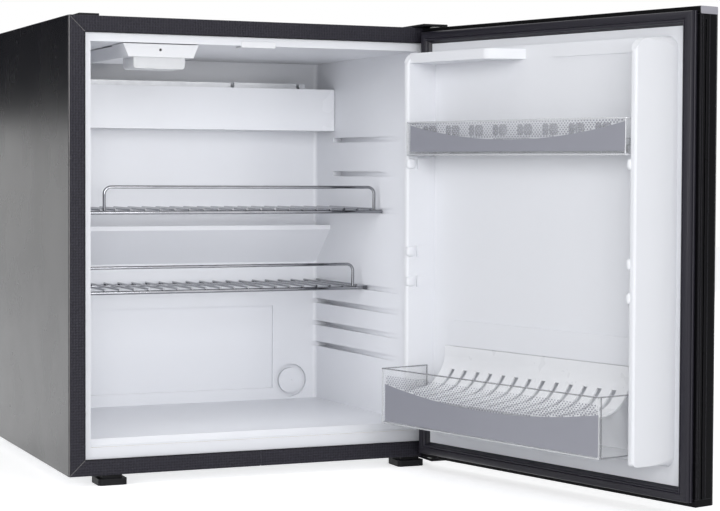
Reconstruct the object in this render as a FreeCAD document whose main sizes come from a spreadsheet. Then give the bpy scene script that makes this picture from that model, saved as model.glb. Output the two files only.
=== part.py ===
import FreeCAD, Part
import math
import os
import Sketcher

# Hotel minibar fridge with its door open, millimetres.
# X runs to the right, Y to the back, Z up; the origin lies on the floor at the middle of the cabinet's front.
# Door pieces are drawn with the door closed and then swung about the hinge pin to the photographed angle.

SIZES = {
    # shared
    "overrun": 2, "fit_gap": 0.3, "weld_sink": 0.4, "weld_gap": 0.05,
    # cabinet
    "case_width": 486, "case_height": 557, "case_sheet": 0.8, "bay_depth": 102.2,
    "frame_width": 20, "frame_thickness": 4, "frame_seam_x": 1.3,
    "flange_reach": 6, "rear_insulation": 45, "back_sheet": 0.8,
    # liner; a share is a part of the height from the cavity's floor to its ceiling
    "liner_wall": 2.5, "mouth_inset": 7.4, "cavity_depth": 312, "side_draft": 18.7,
    "rear_corner_radius": 6, "sill_rise": 34, "sill_run": 9, "floor_rise": 43.5,
    "ceiling_drop": 30.5, "ceiling_fall": 3.5, "gutter_reach": 48, "gutter_share": 0.51863, "gutter_lip": 6,
    "gutter_lip_width": 3, "gutter_slope_height": 48, "gutter_depth": 5, "gutter_fall": 2,
    "groove_height": 7, "groove_end_gap": 2.6, "groove_front": 24, "upper_groove_rear_gap": 56,
    "groove_1_share": 0.76708, "groove_2_share": 0.66977, "groove_3_share": 0.5673,
    "groove_4_share": 0.34886, "groove_5_share": 0.29089, "groove_6_share": 0.22464,
    "groove_7_share": 0.16253,
    "step_left_gap": 10.9, "step_right_gap": 65.9, "step_bottom_share": 0.03416, "step_top_share": 0.27847,
    "step_depth": 4,
    "plug_side_gap": 38.6, "plug_share": 0.05487, "plug_radius": 18, "plug_recess_radius": 23.5,
    "plug_depth": 6, "plug_dimple_radius": 2, "plug_dimple_depth": 1.2,
    # evaporator and its cover
    "cover_rear_gap": 62, "cover_thickness": 2.5, "cover_drop": 99.5, "cover_height": 58,
    "cover_end_gap": 0.6,
    "evaporator_rear_gap": 36, "evaporator_plate": 4, "evaporator_fin_depth": 16,
    "evaporator_fin_thickness": 2,
    "evaporator_fin_pitch": 15, "evaporator_left_gap": 26.9, "evaporator_right_gap": 31.9,
    "evaporator_drop": 94.5, "evaporator_height": 61, "evaporator_notch_width": 5,
    "evaporator_notch_depth": 12,
    "evaporator_notch_1_inset": 110, "evaporator_notch_2_inset": 13,
    # lamp
    "lamp_side_gap": 41.6, "lamp_width": 96, "lamp_slant": 7, "lamp_front": 9, "lamp_depth": 53,
    "lamp_height": 16, "lamp_tail_reach": 127,
    "lens_inset": 14, "lens_height": 14, "lens_front_gap": 3, "lens_round": 4, "lamp_wall": 3,
    "board_thickness": 1.6, "sensor_inset": 47, "sensor_radius": 1.6, "sensor_depth": 3, "sensor_drop": 7,
    # door keeper
    "keeper_left": -25, "keeper_right": 20, "keeper_depth": 20, "keeper_thickness": 2, "keeper_rise": 5,
    # shelves
    "shelf_end_gap": 2, "shelf_depth": 150, "shelf_cross_radius": 2.5, "shelf_wire_radius": 1.5,
    "shelf_wire_pitch": 19.5, "upper_shelf_rear_gap": 59, "lower_shelf_rear_gap": 8, "shelf_side_inset": 8,
    "upper_guard_left_inset": 40.5, "upper_guard_right_inset": 11, "lower_guard_left_inset": 30.5,
    "lower_guard_right_inset": 20.5, "guard_height": 30, "guard_radius": 2, "guard_bend": 9,
    # feet
    "foot_height": 13, "left_foot_inset": 55, "right_foot_inset": 33.5, "foot_width": 36, "foot_depth": 38,
    "foot_inset": 2, "foot_round": 5, "foot_neck_height": 5, "foot_neck_inset": 5.5,
    # hinges
    "pin_inset": 13, "pin_ahead": 20, "pin_radius": 3, "pin_length": 16, "pin_gap": 0.15,
    "hinge_plate_thickness": 3, "hinge_plate_nose": 10, "upper_plate_width": 34, "lower_plate_width": 20,
    "upper_plate_reach": 42, "lower_plate_reach": 58, "screw_radius": 2.2, "screw_length": 11,
    "screw_head_radius": 4.2, "screw_head_height": 2, "screw_spacing": 20, "screw_end_inset": 10,
    "hole_plug_inset": 13, "hole_plug_width": 25, "hole_plug_run": 30, "hole_plug_front": 3,
    "hole_plug_height": 2.8,
    # door; a share is a part of the height of the liner's tub
    "door_open_deg": 104.38, "door_gap": 0.5, "door_edge_gap": 1.6, "door_thickness": 38.5,
    "door_panel_thickness": 1.5, "door_stile_width": 20, "door_trim_height": 8.4, "gasket_height": 10.5,
    "edge_groove_width": 2, "edge_groove_depth": 3, "edge_groove_from_back": 8.5, "edge_groove_top": 5.3,
    "gasket_inset": 5, "gasket_width": 15, "gasket_round": 5, "gasket_ridge_width": 1.2,
    "gasket_ridge_depth": 1.6, "gasket_ridge_inset": 9, "magnet_width": 5, "magnet_height": 2.5,
    "magnet_inset": 4.5, "magnet_sink": 3.5,
    "door_liner_wall": 2, "door_flange_gap": 0.8, "tub_inset": 10.2, "tub_bottom_rise": 41,
    "tub_top_drop": 33, "tub_draft_rise": 6, "pillar_draft": 6, "pillar_width": 9.5, "pillar_reach": 51,
    "panel_reach": 7, "pillar_round": 18, "pillar_foot_round": 7, "pillar_edge_round": 3.5,
    "tub_corner_round": 16, "rim_drop": 17, "rim_height": 12, "rim_end": 25, "rim_slant": 26,
    "rim_round": 12, "rim_step_reach": 8.5, "rim_step_end": -28,
    "lug_depth": 2.2, "lug_height": 14, "lug_front": 22, "lug_run": 14,
    "lug_1_share": 0.70393, "lug_2_share": 0.47619, "lug_3_share": 0.39752,
    "pad_end_inset": 39, "pad_bottom_rise": 153, "pad_height": 32, "pad_depth": 2.5,
    "bush_radius": 4, "bush_flange_radius": 7, "bush_flange": 1.3, "bush_length": 18,
    # bottle comb
    "comb_end_inset": 30.5, "comb_shift": 6, "comb_thickness": 2.5, "comb_top_rise": 152.5,
    "comb_knee_rise": 128,
    "comb_mid_reach": 30, "comb_mid_rise": 104, "comb_front_reach": 88, "comb_front_rise": 95,
    "comb_round": 36, "comb_slot_width": 7.5, "comb_slot_pitch": 24, "comb_bar": 4, "comb_slot_top": 4,
    # racks
    "rack_end_gap": 2.5, "rack_wall": 2.5, "upper_rack_share": 0.72464, "upper_rack_height": 42,
    "upper_rack_reach": 55, "rack_back_reach": 7.8, "rack_back_height": 12, "divider_pitch": 44,
    "divider_height": 20, "divider_thickness": 1.6, "lower_rack_bottom_rise": 58, "lower_rack_height": 69,
    "lower_rack_reach": 92.4, "lower_rack_back_reach": 20, "ear_drop": 14, "ear_height": 8,
    # cooling unit
    "unit_gap": 48.2, "vessel_radius": 26, "vessel_end_inset": 42.2, "vessel_to_boiler": 60, "vessel_z": 95,
    "coil_radius": 8, "coil_end_inset": 62.2, "coil_to_boiler": 80, "coil_bottom": 156, "coil_pitch": 36,
    "boiler_to_box": 50, "boiler_radius": 11, "boiler_bottom": 112, "boiler_drop": 90,
    "jacket_half_width": 34, "jacket_bottom": 126, "jacket_drop": 25, "jacket_sheet": 0.8,
    "heater_radius": 6, "heater_length": 120, "heater_sink": 16,
    "condenser_radius": 7, "condenser_drop": 55, "condenser_end_inset": 67.2, "condenser_bend": 20,
    "condenser_leg": 25, "fin_side": 38, "fin_thickness": 0.6, "fin_pitch": 9, "fin_first_gap": 35,
    "evaporator_tube_radius": 6, "evaporator_tube_bend": 9.5, "evaporator_tube_rise": 23,
    "evaporator_tube_rear_gap": 10, "pipe_hole_gap": 0.3,
    "rail_height": 22, "rail_thickness": 2, "lower_rail_z": 84,
    "box_side_gap": 10.2, "box_width": 62, "box_depth": 58, "box_bottom": 58, "box_height": 112,
    "box_wall": 2,
    "inlet_width": 28, "inlet_height": 21, "inlet_depth": 18, "inlet_rise": 30, "inlet_lip": 2,
    "inlet_pin_width": 2, "inlet_pin_height": 6, "inlet_pin_pitch": 7, "inlet_bore_depth": 14,
    "drain_radius": 5, "drain_wall": 1, "drain_gap": 22.2, "drain_side_inset": 92.2, "drain_bend": 14,
    "drain_end": 132,
    "tray_half_width": 45, "tray_depth": 34, "tray_bottom": 123, "tray_height": 24, "tray_wall": 2,
}

doc = FreeCAD.newDocument("minibar_fridge")
sheet = doc.addObject("Spreadsheet::Sheet", "Dims")


class Size:
    # A length that knows its number and the sheet expression that gives it.
    def __init__(self, text, value):
        self.text = text
        self.value = value

    def __add__(self, other):
        return Size(f"({self.text} + {text_of(other)})", self.value + value_of(other))

    def __radd__(self, other):
        return Size(f"({text_of(other)} + {self.text})", value_of(other) + self.value)

    def __sub__(self, other):
        return Size(f"({self.text} - {text_of(other)})", self.value - value_of(other))

    def __rsub__(self, other):
        return Size(f"({text_of(other)} - {self.text})", value_of(other) - self.value)

    def __mul__(self, number):
        return Size(f"({self.text} * {text_of(number)})", self.value * value_of(number))

    def __truediv__(self, number):
        return Size(f"({self.text} / {text_of(number)})", self.value / value_of(number))

    def __neg__(self):
        return Size(f"(0 - {self.text})", -self.value)


def text_of(size):
    return size.text if isinstance(size, Size) else str(size)


def value_of(size):
    return size.value if isinstance(size, Size) else size


class Sizes:
    # The driving dimensions, one attribute for each row of the sheet.
    def __init__(self, table):
        for row, (alias, number) in enumerate(table.items(), start=1):
            sheet.set(f"A{row}", alias)
            sheet.set(f"B{row}", str(number))
            sheet.setAlias(f"B{row}", alias)
            setattr(self, alias, Size(f"Dims.{alias}", number))


d = Sizes(SIZES)
doc.recompute()

nodes = []


def bind(made, prop, size):
    made.setExpression(prop, text_of(size))


def node(name, made):
    made.Label = name
    nodes.append(made)
    return made


def box(name, x, y, z):
    made = doc.addObject("Part::Box", name)
    for axis, side, (low, high) in zip("xyz", ("Length", "Width", "Height"), (x, y, z)):
        bind(made, side, high - low)
        bind(made, f"Placement.Base.{axis}", low)
    return made


def rod(name, along, radius, span, at):
    # A cylinder along one axis; at holds its place on the other two axes in their order.
    turns = {"x": ((0, 1, 0), 90), "y": ((1, 0, 0), -90), "z": ((0, 0, 1), 0)}
    axis, angle = turns[along]
    made = doc.addObject("Part::Cylinder", name)
    made.Placement.Rotation = FreeCAD.Rotation(FreeCAD.Vector(*axis), angle)
    bind(made, "Radius", radius)
    bind(made, "Height", span[1] - span[0])
    bind(made, f"Placement.Base.{along}", span[0])
    for other, place in zip("xyz".replace(along, ""), at):
        bind(made, f"Placement.Base.{other}", place)
    return made


def fuse(name, *shapes):
    made = doc.addObject("Part::MultiFuse", name)
    made.Shapes = list(shapes)
    return made


def cut(name, base, *tools):
    made = doc.addObject("Part::Cut", name)
    made.Base = base
    made.Tool = tools[0] if len(tools) == 1 else fuse(name + "_tools", *tools)
    return made


def common(name, first, second):
    made = doc.addObject("Part::Common", name)
    made.Base = first
    made.Tool = second
    return made


def group(name, solids):
    made = doc.addObject("Part::Compound", name)
    made.Links = list(solids)
    return made


def ring(name, outer, inner, y):
    # A flat rectangular frame facing the front; outer and inner hold their spans in X and Z.
    base = box(name + "_outer", outer[0], y, outer[1])
    hole = box(name + "_inner", inner[0], (y[0] - d.overrun, y[1] + d.overrun), inner[1])
    return cut(name, base, hole)


def sketch_outline(body, plane, offset, points):
    sketch = body.newObject("Sketcher::SketchObject", body.Name + "_outline")
    planes = {feature.Role: feature for feature in body.Origin.OriginFeatures}
    sketch.AttachmentSupport = [(planes[plane], "")]
    sketch.MapMode = "FlatFace"
    bind(sketch, "AttachmentOffset.Base.z", offset)
    corners = [FreeCAD.Vector(value_of(a), value_of(b), 0) for a, b in points]
    for index, corner in enumerate(corners):
        sketch.addGeometry(Part.LineSegment(corner, corners[(index + 1) % len(corners)]))
    for index in range(len(corners)):
        following = (index + 1) % len(corners)
        sketch.addConstraint(Sketcher.Constraint("Coincident", index, 2, following, 1))
    for index, point in enumerate(points):
        for kind, size in zip(("DistanceX", "DistanceY"), point):
            number = sketch.addConstraint(Sketcher.Constraint(kind, -1, 1, index, 1, value_of(size)))
            bind(sketch, f"Constraints[{number}]", size)
    return sketch


def prism(name, along, span, points, rounds=()):
    # A straight-sided outline, padded along one axis; rounds pairs corner numbers with a radius.
    # Points are (Y, Z) along x, (X, Z) along y and (X, Y) along z.
    planes = {"x": "YZ_Plane", "y": "XZ_Plane", "z": "XY_Plane"}
    body = doc.addObject("PartDesign::Body", name)
    start = -span[1] if along == "y" else span[0]
    sketch = sketch_outline(body, planes[along], start, points)
    pad = body.newObject("PartDesign::Pad", name + "_pad")
    pad.Profile = sketch
    bind(pad, "Length", span[1] - span[0])
    tip = pad
    for corners, radius in rounds:
        doc.recompute()
        tip = round_corners(body, tip, along, [points[c] for c in corners], radius)
    body.Tip = tip
    return body


def round_corners(body, feature, along, places, radius):
    others = "xyz".replace(along, "")
    names = []
    for number, edge in enumerate(feature.Shape.Edges, start=1):
        ends = [vertex.Point for vertex in edge.Vertexes]
        for place in places:
            at = [all(math.isclose(getattr(end, axis), value_of(size), abs_tol=1e-4)
                      for axis, size in zip(others, place)) for end in ends]
            if len(ends) == 2 and all(at):
                names.append(f"Edge{number}")
    fillet = body.newObject("PartDesign::Fillet", feature.Name + "_round")
    fillet.Base = (feature, names)
    bind(fillet, "Radius", radius)
    return fillet


def fillet_all(body, name, names, radius):
    feature = body.Tip
    fillet = body.newObject("PartDesign::Fillet", name)
    fillet.Base = (feature, names)
    bind(fillet, "Radius", radius)
    body.Tip = fillet
    return body


def tube_shape(points, bend, radius):
    # A round bar along straight runs joined by tangent arcs.
    corners = [FreeCAD.Vector(*[value_of(size) for size in point]) for point in points]
    edges = []
    start = corners[0]
    for before, corner, after in zip(corners, corners[1:], corners[2:]):
        inward = (corner - before).normalize()
        onward = (after - corner).normalize()
        turn = inward.getAngle(onward)
        trim = value_of(bend) * math.tan(turn / 2)
        first = corner - inward * trim
        last = corner + onward * trim
        toward = (onward - inward).normalize()
        centre = corner + toward * (value_of(bend) / math.cos(turn / 2))
        middle = centre - toward * value_of(bend)
        edges.append(Part.makeLine(start, first))
        edges.append(Part.Arc(first, middle, last).toShape())
        start = last
    edges.append(Part.makeLine(start, corners[-1]))
    path = Part.Wire(edges)
    circle = Part.makeCircle(value_of(radius), corners[0], corners[1] - corners[0])
    return path.makePipeShell([Part.Wire(circle)], True, False)


def tube(name, points, bend, radius):
    made = doc.addObject("Part::Feature", name)
    made.Shape = tube_shape(points, bend, radius)
    made.Placement = FreeCAD.Placement()
    return made


# Places that several pieces share
zero = Size("0", 0)
half_width = d.case_width / 2
base_z = d.foot_height
top_z = base_z + d.case_height
inner_x = half_width - d.case_sheet
inner_top = top_z - d.case_sheet
inner_bottom = base_z + d.case_sheet
border_x = half_width - d.frame_width
border_top = top_z - d.frame_width
border_bottom = base_z + d.frame_width
mouth_y = d.frame_thickness
cavity_rear = mouth_y + d.cavity_depth
foam_rear = cavity_rear + d.rear_insulation
back_face = foam_rear + d.back_sheet
case_depth = back_face + d.bay_depth
pin_x = half_width - d.pin_inset
pin_y = -d.pin_ahead
pin_at = (pin_x, pin_y)
floor_z = base_z + d.floor_rise
ceiling_z = top_z - d.ceiling_drop
mouth_half = border_x - d.mouth_inset
rear_half = mouth_half - d.side_draft


def cavity_level(share):
    return floor_z + (ceiling_z - floor_z) * share


def across(half):
    return (-half, half)


# Door faces, with the door closed: reach is measured from the gasket's face into the cabinet
seal_y = -d.door_gap
door_back = seal_y - d.gasket_height
door_front = seal_y - d.door_thickness
skin_back = door_front + d.door_panel_thickness
door_bottom = base_z + d.door_edge_gap
door_top = top_z - d.door_edge_gap
panel_y = seal_y + d.panel_reach
pillar_y = seal_y + d.pillar_reach
flange_inset = d.gasket_inset + d.gasket_width + d.door_flange_gap
flange_half = half_width - flange_inset
tub_half = flange_half - d.tub_inset
pillar_outer = tub_half - d.pillar_draft
pillar_inner = pillar_outer - d.pillar_width
tub_bottom = base_z + d.tub_bottom_rise
tub_top = top_z - d.tub_top_drop


def tub_level(share):
    return tub_bottom + (tub_top - tub_bottom) * share


def swing(name, made):
    # Turns a door piece about the hinge pin, from closed to the photographed angle.
    hung = doc.addObject("Part::Compound", name)
    hung.Links = [made]
    hung.Placement.Rotation = FreeCAD.Rotation(FreeCAD.Vector(0, 0, 1), SIZES["door_open_deg"])
    angle = "Dims.door_open_deg * 1 deg"
    x, y = pin_x.text, pin_y.text
    hung.setExpression("Placement.Rotation.Angle", angle)
    hung.setExpression("Placement.Base.x", f"{x} - {x} * cos({angle}) + {y} * sin({angle})")
    hung.setExpression("Placement.Base.y", f"{y} - {x} * sin({angle}) - {y} * cos({angle})")
    return node(name, hung)


# Outer case, base pan and back panel


def screw_places():
    # Upper pair on the case top, lower pair under the base, as (x, y) of each screw.
    upper_x = half_width - d.upper_plate_width / 2
    lower_x = half_width - d.lower_plate_width / 2
    upper = [(upper_x, d.upper_plate_reach - d.screw_end_inset - d.screw_spacing * n) for n in range(2)]
    lower = [(lower_x, d.lower_plate_reach - d.screw_end_inset - d.screw_spacing * n) for n in range(2)]
    return upper, lower


def screw_holes(name):
    upper, lower = screw_places()
    gap = d.screw_radius + d.pin_gap
    holes = []
    for number, place in enumerate(upper):
        span = (top_z - d.screw_length - d.fit_gap, top_z + d.hinge_plate_thickness + d.overrun)
        holes.append(rod(f"{name}_upper_{number}", "z", gap, span, place))
    for number, place in enumerate(lower):
        span = (base_z - d.hinge_plate_thickness - d.overrun, base_z + d.screw_length + d.fit_gap)
        holes.append(rod(f"{name}_lower_{number}", "z", gap, span, place))
    return holes


case_outer = box("case_outer", across(half_width), (mouth_y, case_depth), (base_z, top_z))
case_inner = box("case_inner", across(inner_x), (mouth_y - d.overrun, case_depth + d.overrun),
                 (base_z - d.overrun, inner_top))
node("outer_case", cut("outer_case", case_outer, case_inner, *screw_holes("case_hole")))

pan = box("pan_sheet", across(inner_x), (mouth_y, case_depth), (base_z, inner_bottom))
node("base_pan", cut("base_pan", pan, *screw_holes("pan_hole")))


# Cooling unit places, needed by the holes in the back panel, foam and liner
unit_y = back_face + d.unit_gap
box_left = inner_x - d.box_side_gap - d.box_width
boiler_x = box_left - d.boiler_to_box
coil_left = d.coil_end_inset - inner_x
coil_right = boiler_x - d.coil_to_boiler
condenser_left = d.condenser_end_inset - inner_x
condenser_z = top_z - d.condenser_drop
condenser_end = condenser_z - d.condenser_leg
evaporator_bottom = ceiling_z - d.evaporator_drop
evaporator_tube_z = evaporator_bottom + d.evaporator_tube_rise
leg_left = condenser_left
leg_right = coil_right + d.coil_pitch / 2
pipe_hole = d.evaporator_tube_radius + d.pipe_hole_gap
gutter_z = cavity_level(d.gutter_share)
drain_z = gutter_z - d.gutter_depth + d.gutter_fall + d.drain_radius + d.fit_gap
drain_x = d.drain_side_inset - inner_x
drain_hole = d.drain_radius + d.pipe_hole_gap


def wall_holes(name, front):
    span = (front, back_face + d.overrun)
    holes = [rod(f"{name}_left", "y", pipe_hole, span, (leg_left, evaporator_tube_z)),
             rod(f"{name}_right", "y", pipe_hole, span, (leg_right, evaporator_tube_z)),
             rod(f"{name}_drain", "y", drain_hole, span, (drain_x, drain_z))]
    return holes


back = box("back_sheet_blank", across(inner_x), (foam_rear, back_face), (inner_bottom, inner_top))
node("back_panel", cut("back_panel", back, *wall_holes("back_hole", foam_rear - d.overrun)))

# Front frame rails, mitred at the corners
rails = {
    "frame_top": [(-half_width, top_z), (half_width, top_z), (border_x, border_top), (-border_x, border_top)],
    "frame_left": [(-half_width, base_z), (-border_x, border_bottom), (-border_x, border_top),
                   (-half_width, top_z)],
    "frame_right": [(half_width, base_z), (half_width, top_z), (border_x, border_top),
                    (border_x, border_bottom)],
    "frame_bottom_left": [(-half_width, base_z), (d.frame_seam_x, base_z), (d.frame_seam_x, border_bottom),
                          (-border_x, border_bottom)],
    "frame_bottom_right": [(d.frame_seam_x, base_z), (half_width, base_z), (border_x, border_bottom),
                           (d.frame_seam_x, border_bottom)],
}
for rail_name, rail_points in rails.items():
    node(rail_name, prism(rail_name, "y", (zero, mouth_y), rail_points))

# Inner liner: a drafted plan crossed with the side profile, thickened outwards by its wall


def plan_prism(name, grow):
    front = mouth_y
    rear = cavity_rear + grow
    points = [(-(mouth_half + grow), front), (mouth_half + grow, front),
              (rear_half + grow, rear), (-(rear_half + grow), rear)]
    return prism(name, "z", (base_z, top_z), points, [((2, 3), d.rear_corner_radius + grow)])


def side_prism(name, grow):
    rear = cavity_rear + grow
    tip = cavity_rear - d.gutter_reach + grow
    lip_bottom = gutter_z - d.gutter_lip
    trough_z = gutter_z - d.gutter_depth - grow
    points = [(mouth_y, base_z + d.sill_rise - grow),
              (mouth_y + d.sill_run, floor_z - grow),
              (rear, floor_z - grow),
              (rear, lip_bottom - d.gutter_slope_height),
              (tip, lip_bottom),
              (tip, gutter_z - grow),
              (tip + d.gutter_lip_width, gutter_z - grow),
              (tip + d.gutter_lip_width * 2, trough_z),
              (rear, trough_z + d.gutter_fall),
              (rear, ceiling_z - d.ceiling_fall + grow),
              (mouth_y, ceiling_z + grow)]
    return prism(name, "x", across(half_width), points)


def groove_slabs(name, grow):
    upper_rear = cavity_rear - d.upper_groove_rear_gap
    lower_rear = cavity_rear
    shares = [(d.groove_1_share, upper_rear), (d.groove_2_share, upper_rear), (d.groove_3_share, upper_rear),
              (d.groove_4_share, lower_rear), (d.groove_5_share, lower_rear), (d.groove_6_share, lower_rear),
              (d.groove_7_share, lower_rear)]
    slabs = []
    for number, (share, rear) in enumerate(shares):
        half = d.groove_height / 2 + grow
        level = cavity_level(share)
        slabs.append(box(f"{name}_{number}", across(groove_half + grow), (d.groove_front, rear + grow),
                         (level - half, level + half)))
    return slabs


def liner_form(name, grow):
    hollow = common(name + "_hollow", plan_prism(name + "_plan", grow), side_prism(name + "_side", grow))
    step = box(name + "_step", (d.step_left_gap - rear_half - grow, rear_half - d.step_right_gap + grow),
               (cavity_rear - d.overrun, cavity_rear + d.step_depth + grow),
               (cavity_level(d.step_bottom_share) - grow, cavity_level(d.step_top_share) + grow))
    recess = rod(name + "_recess", "y", d.plug_recess_radius + grow,
                 (cavity_rear - d.overrun, cavity_rear + d.plug_depth + grow), plug_at)
    return fuse(name, hollow, step, recess, *groove_slabs(name + "_groove", grow))


groove_half = mouth_half - d.groove_end_gap
plug_at = (rear_half - d.plug_side_gap, cavity_level(d.plug_share))
cavity = liner_form("cavity", zero)
liner_skin = liner_form("liner_skin", d.liner_wall)
flange_x = border_x + d.flange_reach
flange_span = (border_bottom - d.flange_reach, border_top + d.flange_reach)
flange = box("liner_flange", across(flange_x), (mouth_y, mouth_y + d.liner_wall), flange_span)
mouth = prism("liner_mouth", "y", (mouth_y - d.overrun, mouth_y + d.liner_wall),
              [(-mouth_half, base_z + d.sill_rise), (mouth_half, base_z + d.sill_rise),
               (mouth_half, ceiling_z), (-mouth_half, ceiling_z)])
liner_solid = fuse("liner_solid", liner_skin, flange)
liner_holes = wall_holes("liner_hole", cavity_rear - d.overrun)
node("inner_liner", cut("inner_liner", liner_solid, cavity, mouth, *liner_holes))

foam_block = box("foam_block", across(inner_x), (mouth_y, foam_rear), (inner_bottom, inner_top))
foam_holes = wall_holes("foam_hole", cavity_rear) + screw_holes("foam_screw_hole")
node("cabinet_foam", cut("cabinet_foam", foam_block, liner_solid, cavity, *foam_holes))

plug_y = cavity_rear + d.plug_depth
plug_front = cavity_rear - d.fit_gap
plug_disc = rod("plug_disc", "y", d.plug_radius, (plug_front, plug_y), plug_at)
plug_dimple = rod("plug_dimple", "y", d.plug_dimple_radius,
                  (plug_front - d.overrun, plug_front + d.plug_dimple_depth), plug_at)
node("wall_plug", cut("wall_plug", plug_disc, plug_dimple))

# Evaporator behind its cover
cover_bottom = ceiling_z - d.cover_drop
cover_front = cavity_rear - d.cover_rear_gap
cover_back = cover_front + d.cover_thickness
cover_share = (cover_front - mouth_y) / d.cavity_depth
cover_half = mouth_half - d.side_draft * cover_share - d.cover_end_gap
cover_rear_half = rear_half - d.rear_corner_radius
cover_panel = box("cover_panel", across(cover_half), (cover_front, cover_back),
                  (cover_bottom, cover_bottom + d.cover_height))
cover_shelf = box("cover_shelf", across(cover_rear_half), (cover_back - d.weld_sink, cavity_rear - d.fit_gap),
                  (cover_bottom, cover_bottom + d.cover_thickness))
node("evaporator_cover", fuse("evaporator_cover", cover_panel, cover_shelf))

evaporator_z = (evaporator_bottom, evaporator_bottom + d.evaporator_height)
evaporator_front = cavity_rear - d.evaporator_rear_gap
evaporator_left = d.evaporator_left_gap - rear_half
evaporator_right = rear_half - d.evaporator_right_gap
plate_back = evaporator_front + d.evaporator_plate
plate = box("evaporator_plate", (evaporator_left, evaporator_right), (evaporator_front, plate_back),
            evaporator_z)
fin_run = evaporator_right - evaporator_left - d.evaporator_fin_thickness
fin_count = int(fin_run.value / d.evaporator_fin_pitch.value) + 1
fins = []
for number in range(fin_count):
    left = evaporator_left + d.evaporator_fin_pitch * number
    fins.append(box(f"evaporator_fin_{number}", (left, left + d.evaporator_fin_thickness),
                    (plate_back, plate_back + d.evaporator_fin_depth), evaporator_z))
notches = []
for number, inset in enumerate((d.evaporator_notch_1_inset, d.evaporator_notch_2_inset)):
    place = evaporator_right - inset
    notches.append(box(f"evaporator_notch_{number}", (place, place + d.evaporator_notch_width),
                       (evaporator_front - d.overrun, plate_back + d.evaporator_fin_depth + d.overrun),
                       (evaporator_z[1] - d.evaporator_notch_depth, evaporator_z[1] + d.overrun)))
node("evaporator_block", cut("evaporator_block", fuse("evaporator_finned", plate, *fins), *notches))

# Ceiling lamp
lamp_top = ceiling_z - d.ceiling_fall * ((d.lamp_front + d.lamp_depth) / d.cavity_depth) - d.fit_gap
lamp_bottom = lamp_top - d.lamp_height
lamp_y = (d.lamp_front, d.lamp_front + d.lamp_depth)
lamp_left = d.lamp_side_gap - mouth_half
lamp_right = lamp_left + d.lamp_width
lamp_body = prism("lamp_body", "y", lamp_y,
                  [(lamp_left, lamp_top), (lamp_right, lamp_top),
                   (lamp_right - d.lamp_slant, lamp_bottom), (lamp_left + d.lamp_slant, lamp_bottom)])
tail_rear = lamp_y[1] + d.lamp_tail_reach
tail_top = ceiling_z - d.ceiling_fall * (tail_rear / d.cavity_depth) - d.fit_gap
tail_slant = d.lamp_slant * ((lamp_top - tail_top) / d.lamp_height)
lamp_tail = prism("lamp_tail", "y", (lamp_y[1] - d.weld_sink, tail_rear),
                  [(lamp_left + tail_slant, tail_top), (lamp_right - tail_slant, tail_top),
                   (lamp_right - d.lamp_slant, lamp_bottom), (lamp_left + d.lamp_slant, lamp_bottom)])
pocket_x = (lamp_left + d.lens_inset, lamp_right - d.lens_inset)
pocket_y = (d.lamp_front + d.lamp_wall * 2, d.lamp_front + d.lamp_depth - d.lamp_wall)
pocket = box("lamp_pocket", pocket_x, pocket_y, (lamp_bottom + d.lamp_wall, lamp_top - d.lamp_wall))
sensor_at = (lamp_left + d.sensor_inset, lamp_top - d.sensor_drop)
sensor_hole = rod("sensor_hole", "y", d.sensor_radius + d.pin_gap,
                  (d.lamp_front - d.overrun, d.lamp_front + d.sensor_depth), sensor_at)
lamp_shell = fuse("lamp_shell", lamp_body, lamp_tail)
node("lamp_housing", cut("lamp_housing", lamp_shell, pocket, sensor_hole))
node("lamp_sensor", rod("lamp_sensor", "y", d.sensor_radius,
                        (d.lamp_front - d.fit_gap, d.lamp_front + d.sensor_depth - d.fit_gap), sensor_at))
node("lamp_board", box("lamp_board", (pocket_x[0] + d.fit_gap, pocket_x[1] - d.fit_gap),
                       (pocket_y[0] + d.fit_gap, pocket_y[1] - d.fit_gap),
                       (lamp_bottom + d.lamp_wall, lamp_bottom + d.lamp_wall + d.board_thickness)))
lens_y = (d.lamp_front + d.lens_front_gap, d.lamp_front + d.lamp_depth - d.lens_front_gap)
lens_left = lamp_left + d.lens_inset
lens_right = lamp_right - d.lens_inset - d.lens_front_gap
lens_points = [(lens_left, lamp_bottom), (lens_right, lamp_bottom), (lens_right, lamp_bottom - d.lens_height),
               (lens_left, lamp_bottom - d.lens_height)]
node("lamp_lens", prism("lamp_lens", "y", lens_y, lens_points, [((2, 3), d.lens_round)]))

# Keeper for the door: a plate under the ceiling whose tab stands on the liner's flange
keeper_y = (mouth_y - d.keeper_thickness, mouth_y + d.keeper_depth)
keeper_top = ceiling_z - d.fit_gap
keeper_bottom = keeper_top - d.keeper_thickness
keeper_x = (d.keeper_left, d.keeper_right)
keeper_base = box("keeper_base", keeper_x, keeper_y, (keeper_bottom, keeper_top))
keeper_tab = box("keeper_tab", keeper_x, (keeper_y[0], mouth_y - d.fit_gap),
                 (keeper_bottom, ceiling_z + d.keeper_rise))
node("door_keeper", fuse("door_keeper", keeper_base, keeper_tab))

# Wire shelves and their guards


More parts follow.
